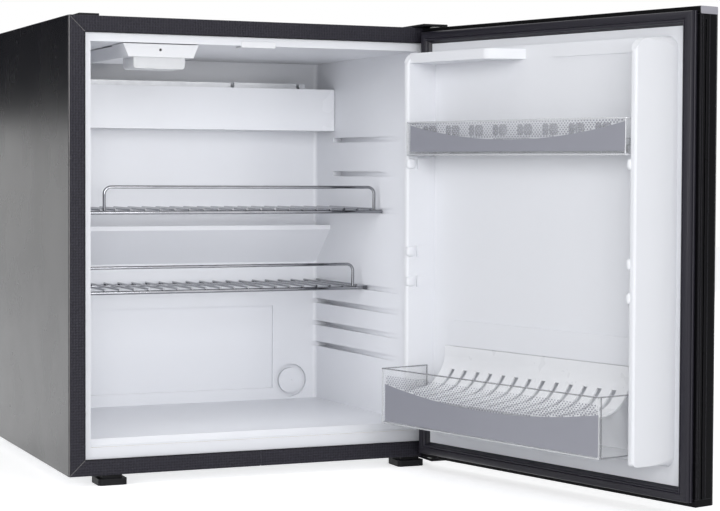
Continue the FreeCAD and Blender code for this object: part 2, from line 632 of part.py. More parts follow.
def wire_shelf(name, rear_gap, share, left_inset, right_inset):
    cross_z = cavity_level(share) - d.groove_height / 2 + d.fit_gap + d.shelf_cross_radius
    wire_z = cross_z + d.shelf_cross_radius + d.shelf_wire_radius - d.weld_sink
    rear = cavity_rear - rear_gap
    front = rear - d.shelf_depth
    cross_y = (front + d.shelf_cross_radius, rear - d.shelf_cross_radius)
    side_x = shelf_half - d.shelf_side_inset
    bars = [rod(f"{name}_cross_{n}", "x", d.shelf_cross_radius, across(shelf_half), (y, cross_z))
            for n, y in enumerate(cross_y)]
    half_count = int((side_x.value - d.shelf_cross_radius.value) / d.shelf_wire_pitch.value)
    wires = [rod(f"{name}_wire_{n + half_count}", "y", d.shelf_wire_radius, (front, rear),
                 (d.shelf_wire_pitch * n, wire_z)) for n in range(-half_count, half_count + 1)]
    node(name, fuse(name, *bars, *wires))
    foot_z = cross_z + d.shelf_cross_radius + d.weld_gap
    guard_y = cross_y[0]
    top = foot_z + d.guard_height
    left = left_inset - shelf_half
    right = shelf_half - right_inset
    route = [(left, guard_y, foot_z), (left, guard_y, top), (right, guard_y, top), (right, guard_y, foot_z)]
    node(name + "_guard", tube(name + "_guard", route, d.guard_bend, d.guard_radius))


shelf_half = groove_half - d.shelf_end_gap
wire_shelf("upper_shelf", d.upper_shelf_rear_gap, d.groove_3_share,
           d.upper_guard_left_inset, d.upper_guard_right_inset)
wire_shelf("lower_shelf", d.lower_shelf_rear_gap, d.groove_4_share,
           d.lower_guard_left_inset, d.lower_guard_right_inset)

# Feet
foot_half = d.foot_width / 2
foot_sides = {"left": d.left_foot_inset - half_width, "right": half_width - d.right_foot_inset}
foot_rows = {"front": d.foot_inset, "rear": case_depth - d.foot_inset - d.foot_depth}
for row_name, foot_y in foot_rows.items():
    for side_name, foot_x in foot_sides.items():
        foot_name = f"{row_name}_{side_name}_foot"
        pad_top = d.foot_height - d.foot_neck_height
        x_span = (foot_x - foot_half, foot_x + foot_half)
        y_span = (foot_y, foot_y + d.foot_depth)
        foot_points = [(x_span[0], y_span[0]), (x_span[1], y_span[0]),
                       (x_span[1], y_span[1]), (x_span[0], y_span[1])]
        foot_pad = prism(foot_name + "_pad", "z", (zero, pad_top), foot_points,
                         [((0, 1, 2, 3), d.foot_round)])
        foot_neck = box(foot_name + "_neck", (x_span[0] + d.foot_neck_inset, x_span[1] - d.foot_neck_inset),
                        (y_span[0] + d.foot_neck_inset, y_span[1] - d.foot_neck_inset), (pad_top, base_z))
        node(foot_name, fuse(foot_name, foot_pad, foot_neck))

# Hinges
plate_nose = pin_y - d.hinge_plate_nose
pin_bore = d.pin_radius + d.pin_gap
upper_z = (top_z, top_z + d.hinge_plate_thickness)
lower_z = (base_z - d.hinge_plate_thickness, base_z)
hinge_plates = {"upper_hinge_plate": (d.upper_plate_width, d.upper_plate_reach, upper_z),
                "lower_hinge_plate": (d.lower_plate_width, d.lower_plate_reach, lower_z)}
for plate_name, (plate_width, reach, plate_z) in hinge_plates.items():
    blank = box(plate_name + "_blank", (half_width - plate_width, half_width), (plate_nose, reach), plate_z)
    bore_z = (plate_z[0] - d.overrun, plate_z[1] + d.overrun)
    bore = rod(plate_name + "_bore", "z", pin_bore, bore_z, pin_at)
    node(plate_name, cut(plate_name, blank, bore, *screw_holes(plate_name + "_hole")))

lower_pin = rod("lower_pin", "z", d.pin_radius, (lower_z[0], lower_z[1] + d.pin_length), pin_at)
upper_pin = rod("upper_pin", "z", d.pin_radius, (upper_z[0] - d.pin_length, upper_z[1]), pin_at)
node("hinge_pins", group("hinge_pins", [lower_pin, upper_pin]))

hinge_screws = []
for side, places in zip(("upper", "lower"), screw_places()):
    for number, place in enumerate(places):
        if side == "upper":
            shank_z = (top_z - d.screw_length, upper_z[1])
            head_z = (upper_z[1], upper_z[1] + d.screw_head_height)
        else:
            shank_z = (lower_z[0], base_z + d.screw_length)
            head_z = (lower_z[0] - d.screw_head_height, lower_z[0])
        shank = rod(f"{side}_screw_shank_{number}", "z", d.screw_radius, shank_z, place)
        head = rod(f"{side}_screw_head_{number}", "z", d.screw_head_radius, head_z, place)
        hinge_screws.append(fuse(f"{side}_screw_{number}", shank, head))
node("hinge_screws", group("hinge_screws", hinge_screws))
hole_plug_left = d.hole_plug_inset - half_width
node("hinge_hole_plug", box("hinge_hole_plug", (hole_plug_left, hole_plug_left + d.hole_plug_width),
                            (d.hole_plug_front, d.hole_plug_front + d.hole_plug_run),
                            (top_z, top_z + d.hole_plug_height)))

# Door skin, trims, stiles and foam
door_x = across(half_width)
swing("door_panel", box("door_panel_sheet", door_x, (door_front, skin_back), (door_bottom, door_top)))

bush_hole = d.bush_radius + d.pin_gap
trim_levels = {"bottom": (door_bottom, door_bottom + d.door_trim_height),
               "top": (door_top - d.door_trim_height, door_top)}
for level, trim_z in trim_levels.items():
    trim_name = f"door_{level}_trim"
    bar = box(trim_name + "_bar", door_x, (skin_back, door_back), trim_z)
    bore_z = (trim_z[0] - d.overrun, trim_z[1] + d.overrun)
    trim_bore = rod(trim_name + "_bore", "z", bush_hole, bore_z, pin_at)
    swing(trim_name, cut(trim_name + "_cut", bar, trim_bore))

stile_z = (trim_levels["bottom"][1], trim_levels["top"][0])
stile_x = half_width - d.door_stile_width
groove_y = door_back - d.edge_groove_from_back
for stile_name, sign in (("hinge", 1), ("free", -1)):
    ends = (stile_x, half_width) if sign == 1 else (-half_width, -stile_x)
    deep = half_width - d.edge_groove_depth
    past = half_width + d.overrun
    slot_x = (deep, past) if sign == 1 else (-past, -deep)
    stile = box(f"{stile_name}_stile_bar", ends, (skin_back, door_back), stile_z)
    slot = box(f"{stile_name}_stile_slot", slot_x, (groove_y - d.edge_groove_width, groove_y),
               (stile_z[0] - d.overrun, stile_z[1] - d.edge_groove_top))
    tools = [slot]
    if sign == 1:
        lower_end = door_bottom + d.bush_length + d.fit_gap
        upper_end = door_top - d.bush_length - d.fit_gap
        tools.append(rod("stile_lower_bore", "z", bush_hole, (stile_z[0] - d.overrun, lower_end), pin_at))
        tools.append(rod("stile_upper_bore", "z", bush_hole, (upper_end, stile_z[1] + d.overrun), pin_at))
    swing(f"door_{stile_name}_stile", cut(f"{stile_name}_stile_cut", stile, *tools))

liner_back = door_back + d.door_liner_wall
core_half = pillar_inner - d.door_liner_wall
rim_z = (tub_top - d.rim_drop, tub_top - d.rim_drop + d.rim_height)
core_z = (tub_bottom + d.tub_draft_rise + d.door_liner_wall, rim_z[0] - d.door_liner_wall)
core_y = (door_back, panel_y - d.door_liner_wall)
foam_slab = box("door_foam_slab", across(stile_x), (skin_back, door_back), stile_z)
foam_core = box("door_foam_core", across(core_half), (core_y[0] - d.overrun, core_y[1]), core_z)
swing("door_foam", fuse("door_foam_block", foam_slab, foam_core))

# Door liner: flange, tub with pillars, top rim, rack lugs and bottle pad
door_flange = box("door_flange", across(flange_half), (door_back, liner_back),
                  (door_bottom + flange_inset, door_top - flange_inset))
tub_plan = prism("tub_plan", "z", (tub_bottom, tub_top),
                 [(-tub_half, door_back), (tub_half, door_back), (pillar_outer, pillar_y),
                  (pillar_inner, pillar_y), (pillar_inner, panel_y), (-pillar_inner, panel_y),
                  (-pillar_inner, pillar_y), (-pillar_outer, pillar_y)],
                 [((2, 3, 6, 7), d.pillar_edge_round)])
tub_side = prism("tub_side", "x", across(half_width),
                 [(door_back, tub_bottom), (-seal_y, tub_bottom + d.tub_draft_rise),
                  (pillar_y, tub_bottom + d.tub_draft_rise), (pillar_y, tub_top - d.tub_draft_rise),
                  (-seal_y, tub_top - d.fit_gap), (door_back, tub_top)],
                 [((3,), d.pillar_round), ((2,), d.pillar_foot_round)])
tub_front = prism("tub_front", "y", (door_back, pillar_y),
                  [(-tub_half, tub_bottom), (tub_half, tub_bottom),
                   (tub_half, tub_top), (-tub_half, tub_top)],
                  [((0, 1, 2, 3), d.tub_corner_round)])
tub = common("tub", common("tub_block", tub_plan, tub_side), tub_front)
rim_root = panel_y - d.weld_sink
rim_front = pillar_y - d.pillar_edge_round
rim = prism("tub_rim", "z", rim_z,
            [(d.rim_end, rim_root), (d.rim_end + d.rim_slant, rim_front),
             (pillar_inner, rim_front), (pillar_inner, rim_root)],
            [((1,), d.rim_round)])
rim_step = box("tub_rim_step", (-pillar_inner, d.rim_step_end),
               (rim_root, seal_y + d.rim_step_reach), rim_z)
pad_z = (base_z + d.pad_bottom_rise, base_z + d.pad_bottom_rise + d.pad_height)
bottle_pad = box("bottle_pad", across(pillar_inner - d.pad_end_inset),
                 (panel_y - d.weld_sink, panel_y + d.pad_depth), pad_z)

upper_rack_z = tub_level(d.upper_rack_share)
lower_rack_z = base_z + d.lower_rack_bottom_rise
upper_ear_z = upper_rack_z + d.ear_drop
lower_ear_z = lower_rack_z + d.upper_rack_height
lug_tops = [tub_level(share) + d.lug_height / 2 for share in (d.lug_1_share, d.lug_2_share, d.lug_3_share)]
lug_tops += [upper_ear_z - d.fit_gap, lower_ear_z - d.fit_gap]
lug_y = (d.lug_front, d.lug_front + d.lug_run)
lugs = []
for number, lug_top in enumerate(lug_tops):
    lug_height = d.lug_height if number < 3 else d.ear_height
    for sign in (-1, 1):
        inner = pillar_inner - d.lug_depth
        outer = pillar_inner + d.weld_sink
        lug_x = (inner, outer) if sign == 1 else (-outer, -inner)
        lugs.append(box(f"rack_lug_{number}_{sign + 1}", lug_x, lug_y, (lug_top - lug_height, lug_top)))
door_liner_solid = fuse("door_liner_solid", door_flange, tub, rim, rim_step, bottle_pad, *lugs)
door_core_tool = box("door_core_tool", across(core_half), (core_y[0] - d.overrun, core_y[1]), core_z)
swing("door_liner", cut("door_liner_cut", door_liner_solid, door_core_tool))

# Gasket with its magnet strips
gasket_x = half_width - d.gasket_inset
gasket_z = (door_bottom + d.gasket_inset, door_top - d.gasket_inset)
gasket_body = prism("gasket_body", "y", (door_back, seal_y),
                    [(-gasket_x, gasket_z[0]), (gasket_x, gasket_z[0]), (gasket_x, gasket_z[1]),
                     (-gasket_x, gasket_z[1])])
doc.recompute()
face_edges = [f"Edge{number}" for number, edge in enumerate(gasket_body.Shape.Edges, start=1)
              if all(math.isclose(vertex.Y, seal_y.value, abs_tol=1e-4) for vertex in edge.Vertexes)]
fillet_all(gasket_body, "gasket_round", face_edges, d.gasket_round)


def inset_spans(inset):
    return across(gasket_x - inset), (gasket_z[0] + inset, gasket_z[1] - inset)


gasket_hole = box("gasket_hole", inset_spans(d.gasket_width)[0], (door_back - d.overrun, seal_y + d.overrun),
                  inset_spans(d.gasket_width)[1])
ridge = ring("gasket_ridge", inset_spans(d.gasket_ridge_inset),
             inset_spans(d.gasket_ridge_inset + d.gasket_ridge_width),
             (seal_y - d.gasket_ridge_depth, seal_y + d.overrun))


def magnet_bars(name, grow):
    # Four strips inside the gasket's tube, one to each side.
    spare = d.gasket_width
    y_span = (seal_y - d.magnet_sink - d.magnet_height - grow, seal_y - d.magnet_sink + grow)
    near = d.magnet_inset - grow
    far = d.magnet_inset + d.magnet_width + grow
    long_x = across(gasket_x - spare + grow)
    long_z = (gasket_z[0] + spare - grow, gasket_z[1] - spare + grow)
    return [box(name + "_hinge", (gasket_x - far, gasket_x - near), y_span, long_z),
            box(name + "_free", (near - gasket_x, far - gasket_x), y_span, long_z),
            box(name + "_bottom", long_x, y_span, (gasket_z[0] + near, gasket_z[0] + far)),
            box(name + "_top", long_x, y_span, (gasket_z[1] - far, gasket_z[1] - near))]


magnet_rooms = magnet_bars("magnet_room", d.pin_gap)
swing("door_gasket", cut("gasket_cut", gasket_body, gasket_hole, ridge, *magnet_rooms))
swing("gasket_magnets", group("gasket_magnet_strips", magnet_bars("magnet", zero)))

# Bushes that turn on the hinge pins
for bush_name, sign in (("lower_hinge_bush", 1), ("upper_hinge_bush", -1)):
    face = door_bottom if sign == 1 else door_top
    sleeve_z = (face, face + d.bush_length) if sign == 1 else (face - d.bush_length, face)
    collar_z = (face - d.bush_flange, face) if sign == 1 else (face, face + d.bush_flange)
    sleeve = rod(bush_name + "_sleeve", "z", d.bush_radius, sleeve_z, pin_at)
    collar = rod(bush_name + "_collar", "z", d.bush_flange_radius, collar_z, pin_at)
    bush_bore = rod(bush_name + "_bore", "z", pin_bore, (sleeve_z[0] - d.bush_flange - d.overrun,
                                                         sleeve_z[1] + d.bush_flange + d.overrun), pin_at)
    swing(bush_name, cut(bush_name + "_cut", fuse(bush_name + "_blank", sleeve, collar), bush_bore))

# Bottle comb: a curved plate with slots, hung under the pad
comb_y = panel_y + d.fit_gap
comb_top = base_z + d.comb_top_rise
comb_points = [(comb_y, comb_top), (comb_y, base_z + d.comb_knee_rise - d.comb_thickness),
               (seal_y + d.comb_mid_reach, base_z + d.comb_mid_rise - d.comb_thickness),
               (seal_y + d.comb_front_reach, base_z + d.comb_front_rise - d.comb_thickness),
               (seal_y + d.comb_front_reach, base_z + d.comb_front_rise),
               (seal_y + d.comb_mid_reach + d.comb_thickness / 2, base_z + d.comb_mid_rise),
               (comb_y + d.comb_thickness, base_z + d.comb_knee_rise),
               (comb_y + d.comb_thickness, comb_top)]
comb_half = pillar_inner - d.comb_end_inset
comb_plate = prism("comb_plate", "x", (d.comb_shift - comb_half, d.comb_shift + comb_half), comb_points,
                   [((1, 2), d.comb_round + d.comb_thickness), ((5, 6), d.comb_round)])
slot_count = int((comb_half.value - d.comb_slot_pitch.value / 4) / d.comb_slot_pitch.value)
comb_slots = []
for number in range(-slot_count, slot_count + 1):
    middle = d.comb_slot_pitch * number + d.comb_shift
    comb_slots.append(box(f"comb_slot_{number + slot_count}",
                          (middle - d.comb_slot_width / 2, middle + d.comb_slot_width / 2),
                          (comb_y - d.overrun, seal_y + d.comb_front_reach - d.comb_bar),
                          (base_z + d.comb_front_rise - d.comb_thickness - d.overrun,
                           base_z + d.comb_knee_rise - d.comb_slot_top)))
swing("bottle_comb", cut("comb_cut", comb_plate, *comb_slots))

# Clear racks with ears that hang on the pillar lugs


def rack_ears(name, ear_z):
    ears = []
    for sign in (-1, 1):
        near = rack_half - d.weld_sink
        far = pillar_inner - d.fit_gap
        ear_x = (near, far) if sign == 1 else (-far, -near)
        ears.append(box(f"{name}_ear_{sign + 1}", ear_x, lug_y, (ear_z, ear_z + d.ear_height)))
    return ears


def rack_tray(name, bottom, height, back, front):
    x_span = across(rack_half)
    y_span = (seal_y + back, seal_y + front)
    outer = box(name + "_outer", x_span, y_span, (bottom, bottom + height))
    inner = box(name + "_inner", across(rack_half - d.rack_wall),
                (y_span[0] - d.overrun, y_span[1] - d.rack_wall),
                (bottom + d.rack_wall, bottom + height + d.overrun))
    return cut(name + "_tray", outer, inner)


rack_half = pillar_inner - d.rack_end_gap
upper_tray = rack_tray("upper_rack", upper_rack_z, d.upper_rack_height, d.rack_back_reach, d.upper_rack_reach)
back_lip = box("upper_rack_lip", across(rack_half),
               (seal_y + d.rack_back_reach, seal_y + d.rack_back_reach + d.rack_wall),
               (upper_rack_z, upper_rack_z + d.rack_back_height))
divider_count = int(rack_half.value / d.divider_pitch.value)
dividers = []
for number in range(-divider_count, divider_count):
    middle = d.divider_pitch * number + d.divider_pitch / 2
    dividers.append(box(f"rack_divider_{number + divider_count}",
                        (middle - d.divider_thickness / 2, middle + d.divider_thickness / 2),
                        (seal_y + d.rack_back_reach, seal_y + d.upper_rack_reach - d.rack_wall / 2),
                        (upper_rack_z, upper_rack_z + d.divider_height)))
upper_ears = rack_ears("upper_rack", upper_ear_z)
swing("upper_rack", fuse("upper_rack_whole", upper_tray, back_lip, *dividers, *upper_ears))

lower_tray = rack_tray("lower_rack", lower_rack_z, d.lower_rack_height, d.lower_rack_back_reach,
                       d.lower_rack_reach)
swing("lower_rack", fuse("lower_rack_whole", lower_tray, *rack_ears("lower_rack", lower_ear_z)))

# Absorption cooling unit in the recess behind the back panel
vessel_x = (d.vessel_end_inset - inner_x, boiler_x - d.vessel_to_boiler)
vessel = rod("absorber_vessel", "x", d.vessel_radius, vessel_x, (unit_y, d.vessel_z))
node("absorber_vessel", vessel)


def coil_route():
    # Up from the vessel, back and forth, then up to the evaporator's return leg.
    sides = (coil_left - d.coil_pitch / 2, coil_right + d.coil_pitch / 2)
    route = [(sides[0], unit_y, d.vessel_z + d.vessel_radius + d.fit_gap)]
    for run in range(5):
        level = d.coil_bottom + d.coil_pitch * run
        route.append((sides[run % 2], unit_y, level))
        route.append((sides[(run + 1) % 2], unit_y, level))
    route.append((sides[1], unit_y, evaporator_tube_z - d.evaporator_tube_bend - d.weld_gap))
    return route


node("absorber_coil", tube("absorber_coil", coil_route(), d.coil_pitch / 2 - d.weld_gap, d.coil_radius))

tube_y = cavity_rear - d.evaporator_tube_rear_gap
evaporator_route = [(leg_left, unit_y, condenser_end - d.weld_gap), (leg_left, unit_y, evaporator_tube_z),
                    (leg_left, tube_y, evaporator_tube_z), (leg_right, tube_y, evaporator_tube_z),
                    (leg_right, unit_y, evaporator_tube_z),
                    (leg_right, unit_y, evaporator_tube_z - d.evaporator_tube_bend)]
node("evaporator_tube", tube("evaporator_tube", evaporator_route, d.evaporator_tube_bend - d.weld_gap,
                             d.evaporator_tube_radius))

boiler_top = condenser_z - d.boiler_drop
condenser_route = [(boiler_x, unit_y, boiler_top + d.weld_gap), (boiler_x, unit_y, condenser_z),
                   (condenser_left, unit_y, condenser_z), (condenser_left, unit_y, condenser_end)]
node("condenser_tube", tube("condenser_tube", condenser_route, d.condenser_bend, d.condenser_radius))
fin_first_x = condenser_left + d.fin_first_gap
fin_reach = boiler_x - d.condenser_bend * 2 - fin_first_x
unit_fins = []
for number in range(int(fin_reach.value / d.fin_pitch.value) + 1):
    left = fin_first_x + d.fin_pitch * number
    sheet_fin = box(f"unit_fin_{number}", (left, left + d.fin_thickness),
                    (unit_y - d.fin_side / 2, unit_y + d.fin_side / 2),
                    (condenser_z - d.fin_side / 2, condenser_z + d.fin_side / 2))
    fin_hole = rod(f"unit_fin_hole_{number}", "x", d.condenser_radius + d.weld_gap,
                   (left - d.overrun, left + d.fin_thickness + d.overrun), (unit_y, condenser_z))
    unit_fins.append(cut(f"unit_fin_cut_{number}", sheet_fin, fin_hole))
node("condenser_fins", group("condenser_fins", unit_fins))

boiler_at = (boiler_x, unit_y)
node("boiler_tube", rod("boiler_tube", "z", d.boiler_radius, (d.boiler_bottom, boiler_top), boiler_at))
jacket_top = boiler_top - d.jacket_drop
jacket_x = (boiler_x - d.jacket_half_width, boiler_x + d.jacket_half_width)
jacket_y = (unit_y - d.jacket_half_width, unit_y + d.jacket_half_width)
jacket_box = box("jacket_box", jacket_x, jacket_y, (d.jacket_bottom, jacket_top))
jacket_room = box("jacket_room", (jacket_x[0] + d.jacket_sheet, jacket_x[1] - d.jacket_sheet),
                  (jacket_y[0] + d.jacket_sheet, jacket_y[1] - d.jacket_sheet),
                  (d.jacket_bottom + d.jacket_sheet, jacket_top - d.jacket_sheet))
boiler_hole = rod("jacket_boiler_hole", "z", d.boiler_radius + d.pin_gap,
                  (d.jacket_bottom - d.overrun, jacket_top + d.overrun), boiler_at)
heater_at = (boiler_x - d.boiler_radius - d.heater_radius - d.pin_gap, unit_y)
heater_hole = rod("jacket_heater_hole", "z", d.heater_radius + d.pin_gap,
                  (d.jacket_bottom - d.overrun, d.jacket_bottom + d.overrun), heater_at)
node("boiler_jacket", cut("boiler_jacket", jacket_box, jacket_room, boiler_hole, heater_hole))
heater_low = d.jacket_bottom - d.heater_sink
node("heater_cartridge", rod("heater_cartridge", "z", d.heater_radius,
                             (heater_low, heater_low + d.heater_length), heater_at))

lower_rail_y = unit_y + d.vessel_radius + d.fit_gap
upper_rail_y = unit_y + d.fin_side / 2 + d.fit_gap
upper_rail_z = condenser_z - d.rail_height / 2
rail_places = {"lower": (lower_rail_y, d.lower_rail_z), "upper": (upper_rail_y, upper_rail_z)}
unit_rails = []
for rail_key, (rail_y, rail_z) in rail_places.items():
    unit_rails.append(box(f"{rail_key}_rail", across(inner_x), (rail_y, rail_y + d.rail_thickness),
                          (rail_z, rail_z + d.rail_height)))
node("unit_rails", group("unit_rails", unit_rails))

# Control box with the mains inlet
box_x = (box_left, box_left + d.box_width)
box_y = (back_face, back_face + d.box_depth)
box_z = (d.box_bottom, d.box_bottom + d.box_height)
box_room = box("control_room", (box_x[0] + d.box_wall, box_x[1] - d.box_wall),
               (box_y[0] + d.box_wall, box_y[1] - d.box_wall), (box_z[0] + d.box_wall, box_z[1] - d.box_wall))
inlet_x = (box_x[0] + (d.box_width - d.inlet_width) / 2, box_x[0] + (d.box_width + d.inlet_width) / 2)
inlet_z = (d.box_bottom + d.inlet_rise, d.box_bottom + d.inlet_rise + d.inlet_height)
inlet_y = (box_y[1] - d.inlet_depth, box_y[1])
inlet_window = box("inlet_window", (inlet_x[0] - d.pin_gap, inlet_x[1] + d.pin_gap),
                   (box_y[1] - d.box_wall - d.overrun, box_y[1] + d.overrun),
                   (inlet_z[0] - d.pin_gap, inlet_z[1] + d.pin_gap))
control_outer = box("control_outer", box_x, box_y, box_z)
node("control_box", cut("control_box", control_outer, box_room, inlet_window))
board_y = box_y[0] + d.box_wall
board_edge = d.box_wall * 2
node("control_board", box("control_board", (box_x[0] + board_edge, box_x[1] - board_edge),
                          (board_y, board_y + d.board_thickness),
                          (box_z[0] + board_edge, box_z[1] - board_edge)))
inlet_block = box("inlet_block", inlet_x, inlet_y, inlet_z)
inlet_bore = box("inlet_bore", (inlet_x[0] + d.inlet_lip, inlet_x[1] - d.inlet_lip),
                 (inlet_y[1] - d.inlet_bore_depth, inlet_y[1] + d.overrun),
                 (inlet_z[0] + d.inlet_lip, inlet_z[1] - d.inlet_lip))
inlet_lips = ring("inlet_lips", ((inlet_x[0] - d.inlet_lip, inlet_x[1] + d.inlet_lip),
                                 (inlet_z[0] - d.inlet_lip, inlet_z[1] + d.inlet_lip)),
                  ((inlet_x[0] + d.inlet_lip, inlet_x[1] - d.inlet_lip),
                   (inlet_z[0] + d.inlet_lip, inlet_z[1] - d.inlet_lip)), (box_y[1], box_y[1] + d.inlet_lip))
inlet_middle = (inlet_x[0] + inlet_x[1]) / 2
inlet_pins = []
for number in (-1, 0, 1):
    pin_left = inlet_middle + d.inlet_pin_pitch * number - d.inlet_pin_width / 2
    pin_low = (inlet_z[0] + inlet_z[1] - d.inlet_pin_height) / 2
    inlet_pins.append(box(f"inlet_pin_{number + 1}", (pin_left, pin_left + d.inlet_pin_width),
                          (inlet_y[1] - d.inlet_bore_depth - d.weld_sink, inlet_y[1] - d.overrun),
                          (pin_low, pin_low + d.inlet_pin_height)))
inlet_shell = fuse("inlet_shell", cut("inlet_hollow", inlet_block, inlet_bore), inlet_lips, *inlet_pins)
node("mains_inlet", inlet_shell)

# Drain from the gutter to the tray
drain_y = back_face + d.drain_gap
drain_route = [(drain_x, cavity_rear, drain_z), (drain_x, drain_y, drain_z), (drain_x, drain_y, d.drain_end)]
drain_outer = tube("drain_outer", drain_route, d.drain_bend, d.drain_radius)
drain_inner = tube("drain_inner", drain_route, d.drain_bend, d.drain_radius - d.drain_wall)
node("drain_tube", cut("drain_tube", drain_outer, drain_inner))
tray_x = (drain_x - d.tray_half_width, drain_x + d.tray_half_width)
tray_y = (back_face, back_face + d.tray_depth)
tray_z = (d.tray_bottom, d.tray_bottom + d.tray_height)
tray_outer = box("tray_outer", tray_x, tray_y, tray_z)
tray_room = box("tray_room", (tray_x[0] + d.tray_wall, tray_x[1] - d.tray_wall),
                (tray_y[0] + d.tray_wall, tray_y[1] - d.tray_wall),
                (tray_z[0] + d.tray_wall, tray_z[1] + d.overrun))
node("drip_tray", cut("drip_tray", tray_outer, tray_room))

doc.recompute()
for made in doc.Objects:
    if "Invalid" in made.State or "Error" in made.State:
        raise RuntimeError(f"{made.Label} did not build: {made.State}")
for made in nodes:
    if made.Shape.isNull() or not made.Shape.isValid():
        raise RuntimeError(f"{made.Label} has no sound shape")

os.makedirs("parts", exist_ok=True)
for made in nodes:
    made.Shape.exportStep(f"parts/{made.Label}.step")
print(len(nodes), "nodes written")
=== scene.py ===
import bmesh
import bpy
import math
from mathutils import Matrix, Vector


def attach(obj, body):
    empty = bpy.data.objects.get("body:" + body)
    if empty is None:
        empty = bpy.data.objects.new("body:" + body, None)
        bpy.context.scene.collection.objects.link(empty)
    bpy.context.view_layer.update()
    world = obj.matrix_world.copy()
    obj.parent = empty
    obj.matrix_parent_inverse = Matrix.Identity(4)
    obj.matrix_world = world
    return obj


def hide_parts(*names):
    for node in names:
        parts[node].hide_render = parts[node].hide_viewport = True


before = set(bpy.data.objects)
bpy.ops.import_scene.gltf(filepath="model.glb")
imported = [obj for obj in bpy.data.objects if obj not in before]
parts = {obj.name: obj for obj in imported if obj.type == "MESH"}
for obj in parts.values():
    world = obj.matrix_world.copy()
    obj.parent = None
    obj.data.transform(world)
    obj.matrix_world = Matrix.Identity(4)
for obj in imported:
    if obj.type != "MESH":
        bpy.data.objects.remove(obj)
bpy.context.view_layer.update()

# Hotel minibar fridge, door open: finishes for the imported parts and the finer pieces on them.
scene = bpy.context.scene
scene.view_settings.view_transform = "Standard"
print("fridge frame:", len(parts), "parts")

# Door pieces are written with the door shut and swung with it, in metres
doorHang = {"pinX": 0.2300, "pinY": -0.0200, "openDeg": 104.38}
pinPlace = Vector((doorHang["pinX"], doorHang["pinY"], 0))
doorSwing = (Matrix.Translation(pinPlace) @ Matrix.Rotation(math.radians(doorHang["openDeg"]), 4, "Z")
             @ Matrix.Translation(-pinPlace))


# Surface helpers, with the parts of a field's range that they use
fieldRanges = {"noiseRough": 0.55, "mottleLow": 0.2, "mottleHigh": 0.8, "hazeLow": 0.3, "hazeHigh": 0.7,
               "pebbleLoose": 0.25, "mottleDetail": 4.0, "hazeDetail": 3.0, "grainDetail": 2.0,
               "edgeStart": 0.995, "edgeFull": 0.80, "edgeSamples": 4}


def addNode(tree, kind, **values):
    made = tree.nodes.new(kind)
    for key, value in values.items():
        if hasattr(made, key) and key not in made.inputs:
            setattr(made, key, value)
        else:
            made.inputs[key.replace("_", " ")].default_value = value
    return made


def startSurface(name):
    made = bpy.data.materials.new(name)
    made.use_nodes = True
    tree = made.node_tree
    tree.nodes.clear()
    out = tree.nodes.new("ShaderNodeOutputMaterial")
    shader = tree.nodes.new("ShaderNodeBsdfPrincipled")
    tree.links.new(shader.outputs["BSDF"], out.inputs["Surface"])
    return made, tree, shader


def noiseField(tree, point, size, detail=3.0, stretch=(1, 1, 1)):
    # fractal noise with features of about this size in metres
    lay = addNode(tree, "ShaderNodeMapping")
    lay.inputs["Scale"].default_value = stretch
    tree.links.new(point, lay.inputs["Vector"])
    field = addNode(tree, "ShaderNodeTexNoise", Scale=1 / size, Detail=detail,
                    Roughness=fieldRanges["noiseRough"])
    tree.links.new(lay.outputs["Vector"], field.inputs["Vector"])
    return field.outputs["Fac"]


def pebbleField(tree, point, size):
    # round pebbles set in loose rows, as on an embossed foil
    field = addNode(tree, "ShaderNodeTexVoronoi", feature="F1", Scale=1 / size,
                    Randomness=fieldRanges["pebbleLoose"])
    tree.links.new(point, field.inputs["Vector"])
    return field.outputs["Distance"]


def blendColours(tree, field, first, second, low=0.35, high=0.65):
    ramp = addNode(tree, "ShaderNodeValToRGB")
    ramp.color_ramp.elements[0].position = low
    ramp.color_ramp.elements[0].color = (*first, 1)
    ramp.color_ramp.elements[1].position = high
    ramp.color_ramp.elements[1].color = (*second, 1)
    tree.links.new(field, ramp.inputs["Fac"])
    return ramp.outputs["Color"]


def spreadValue(tree, field, low, high):
    spread = addNode(tree, "ShaderNodeMapRange")
    spread.inputs["From Min"].default_value = fieldRanges["hazeLow"]
    spread.inputs["From Max"].default_value = fieldRanges["hazeHigh"]
    spread.inputs["To Min"].default_value = low
    spread.inputs["To Max"].default_value = high
    tree.links.new(field, spread.inputs["Value"])
    return spread.outputs["Result"]


def bumpFrom(tree, field, height, strength, before=None):
    bump = addNode(tree, "ShaderNodeBump", Strength=strength, Distance=height)
    tree.links.new(field, bump.inputs["Height"])
    if before is not None:
        tree.links.new(before, bump.inputs["Normal"])
    return bump.outputs["Normal"]


def edgeField(tree, reach):
    # near one on edges and creases, zero on open faces; finishes paint edge highlights and edge shade by it
    soft = addNode(tree, "ShaderNodeBevel", samples=fieldRanges["edgeSamples"], Radius=reach)
    flat = addNode(tree, "ShaderNodeNewGeometry")
    turn = addNode(tree, "ShaderNodeVectorMath", operation="DOT_PRODUCT")
    tree.links.new(soft.outputs["Normal"], turn.inputs[0])
    tree.links.new(flat.outputs["Normal"], turn.inputs[1])
    paintedShadingMask = addNode(tree, "ShaderNodeMapRange")
    paintedShadingMask.inputs["From Min"].default_value = fieldRanges["edgeStart"]
    paintedShadingMask.inputs["From Max"].default_value = fieldRanges["edgeFull"]
    tree.links.new(turn.outputs["Value"], paintedShadingMask.inputs["Value"])
    return paintedShadingMask.outputs["Result"]


def paintShading(tree, tint, paintedShadingMask, colour, amount):
    # inputs 6 and 7 and output 2 are the mix node's colours
    share = addNode(tree, "ShaderNodeMath", operation="MULTIPLY")
    share.inputs[1].default_value = amount
    tree.links.new(paintedShadingMask, share.inputs[0])
    mix = addNode(tree, "ShaderNodeMix", data_type="RGBA")
    tree.links.new(share.outputs["Value"], mix.inputs[0])
    tree.links.new(tint, mix.inputs[6])
    mix.inputs[7].default_value = (*colour, 1)
    return mix.outputs[2]


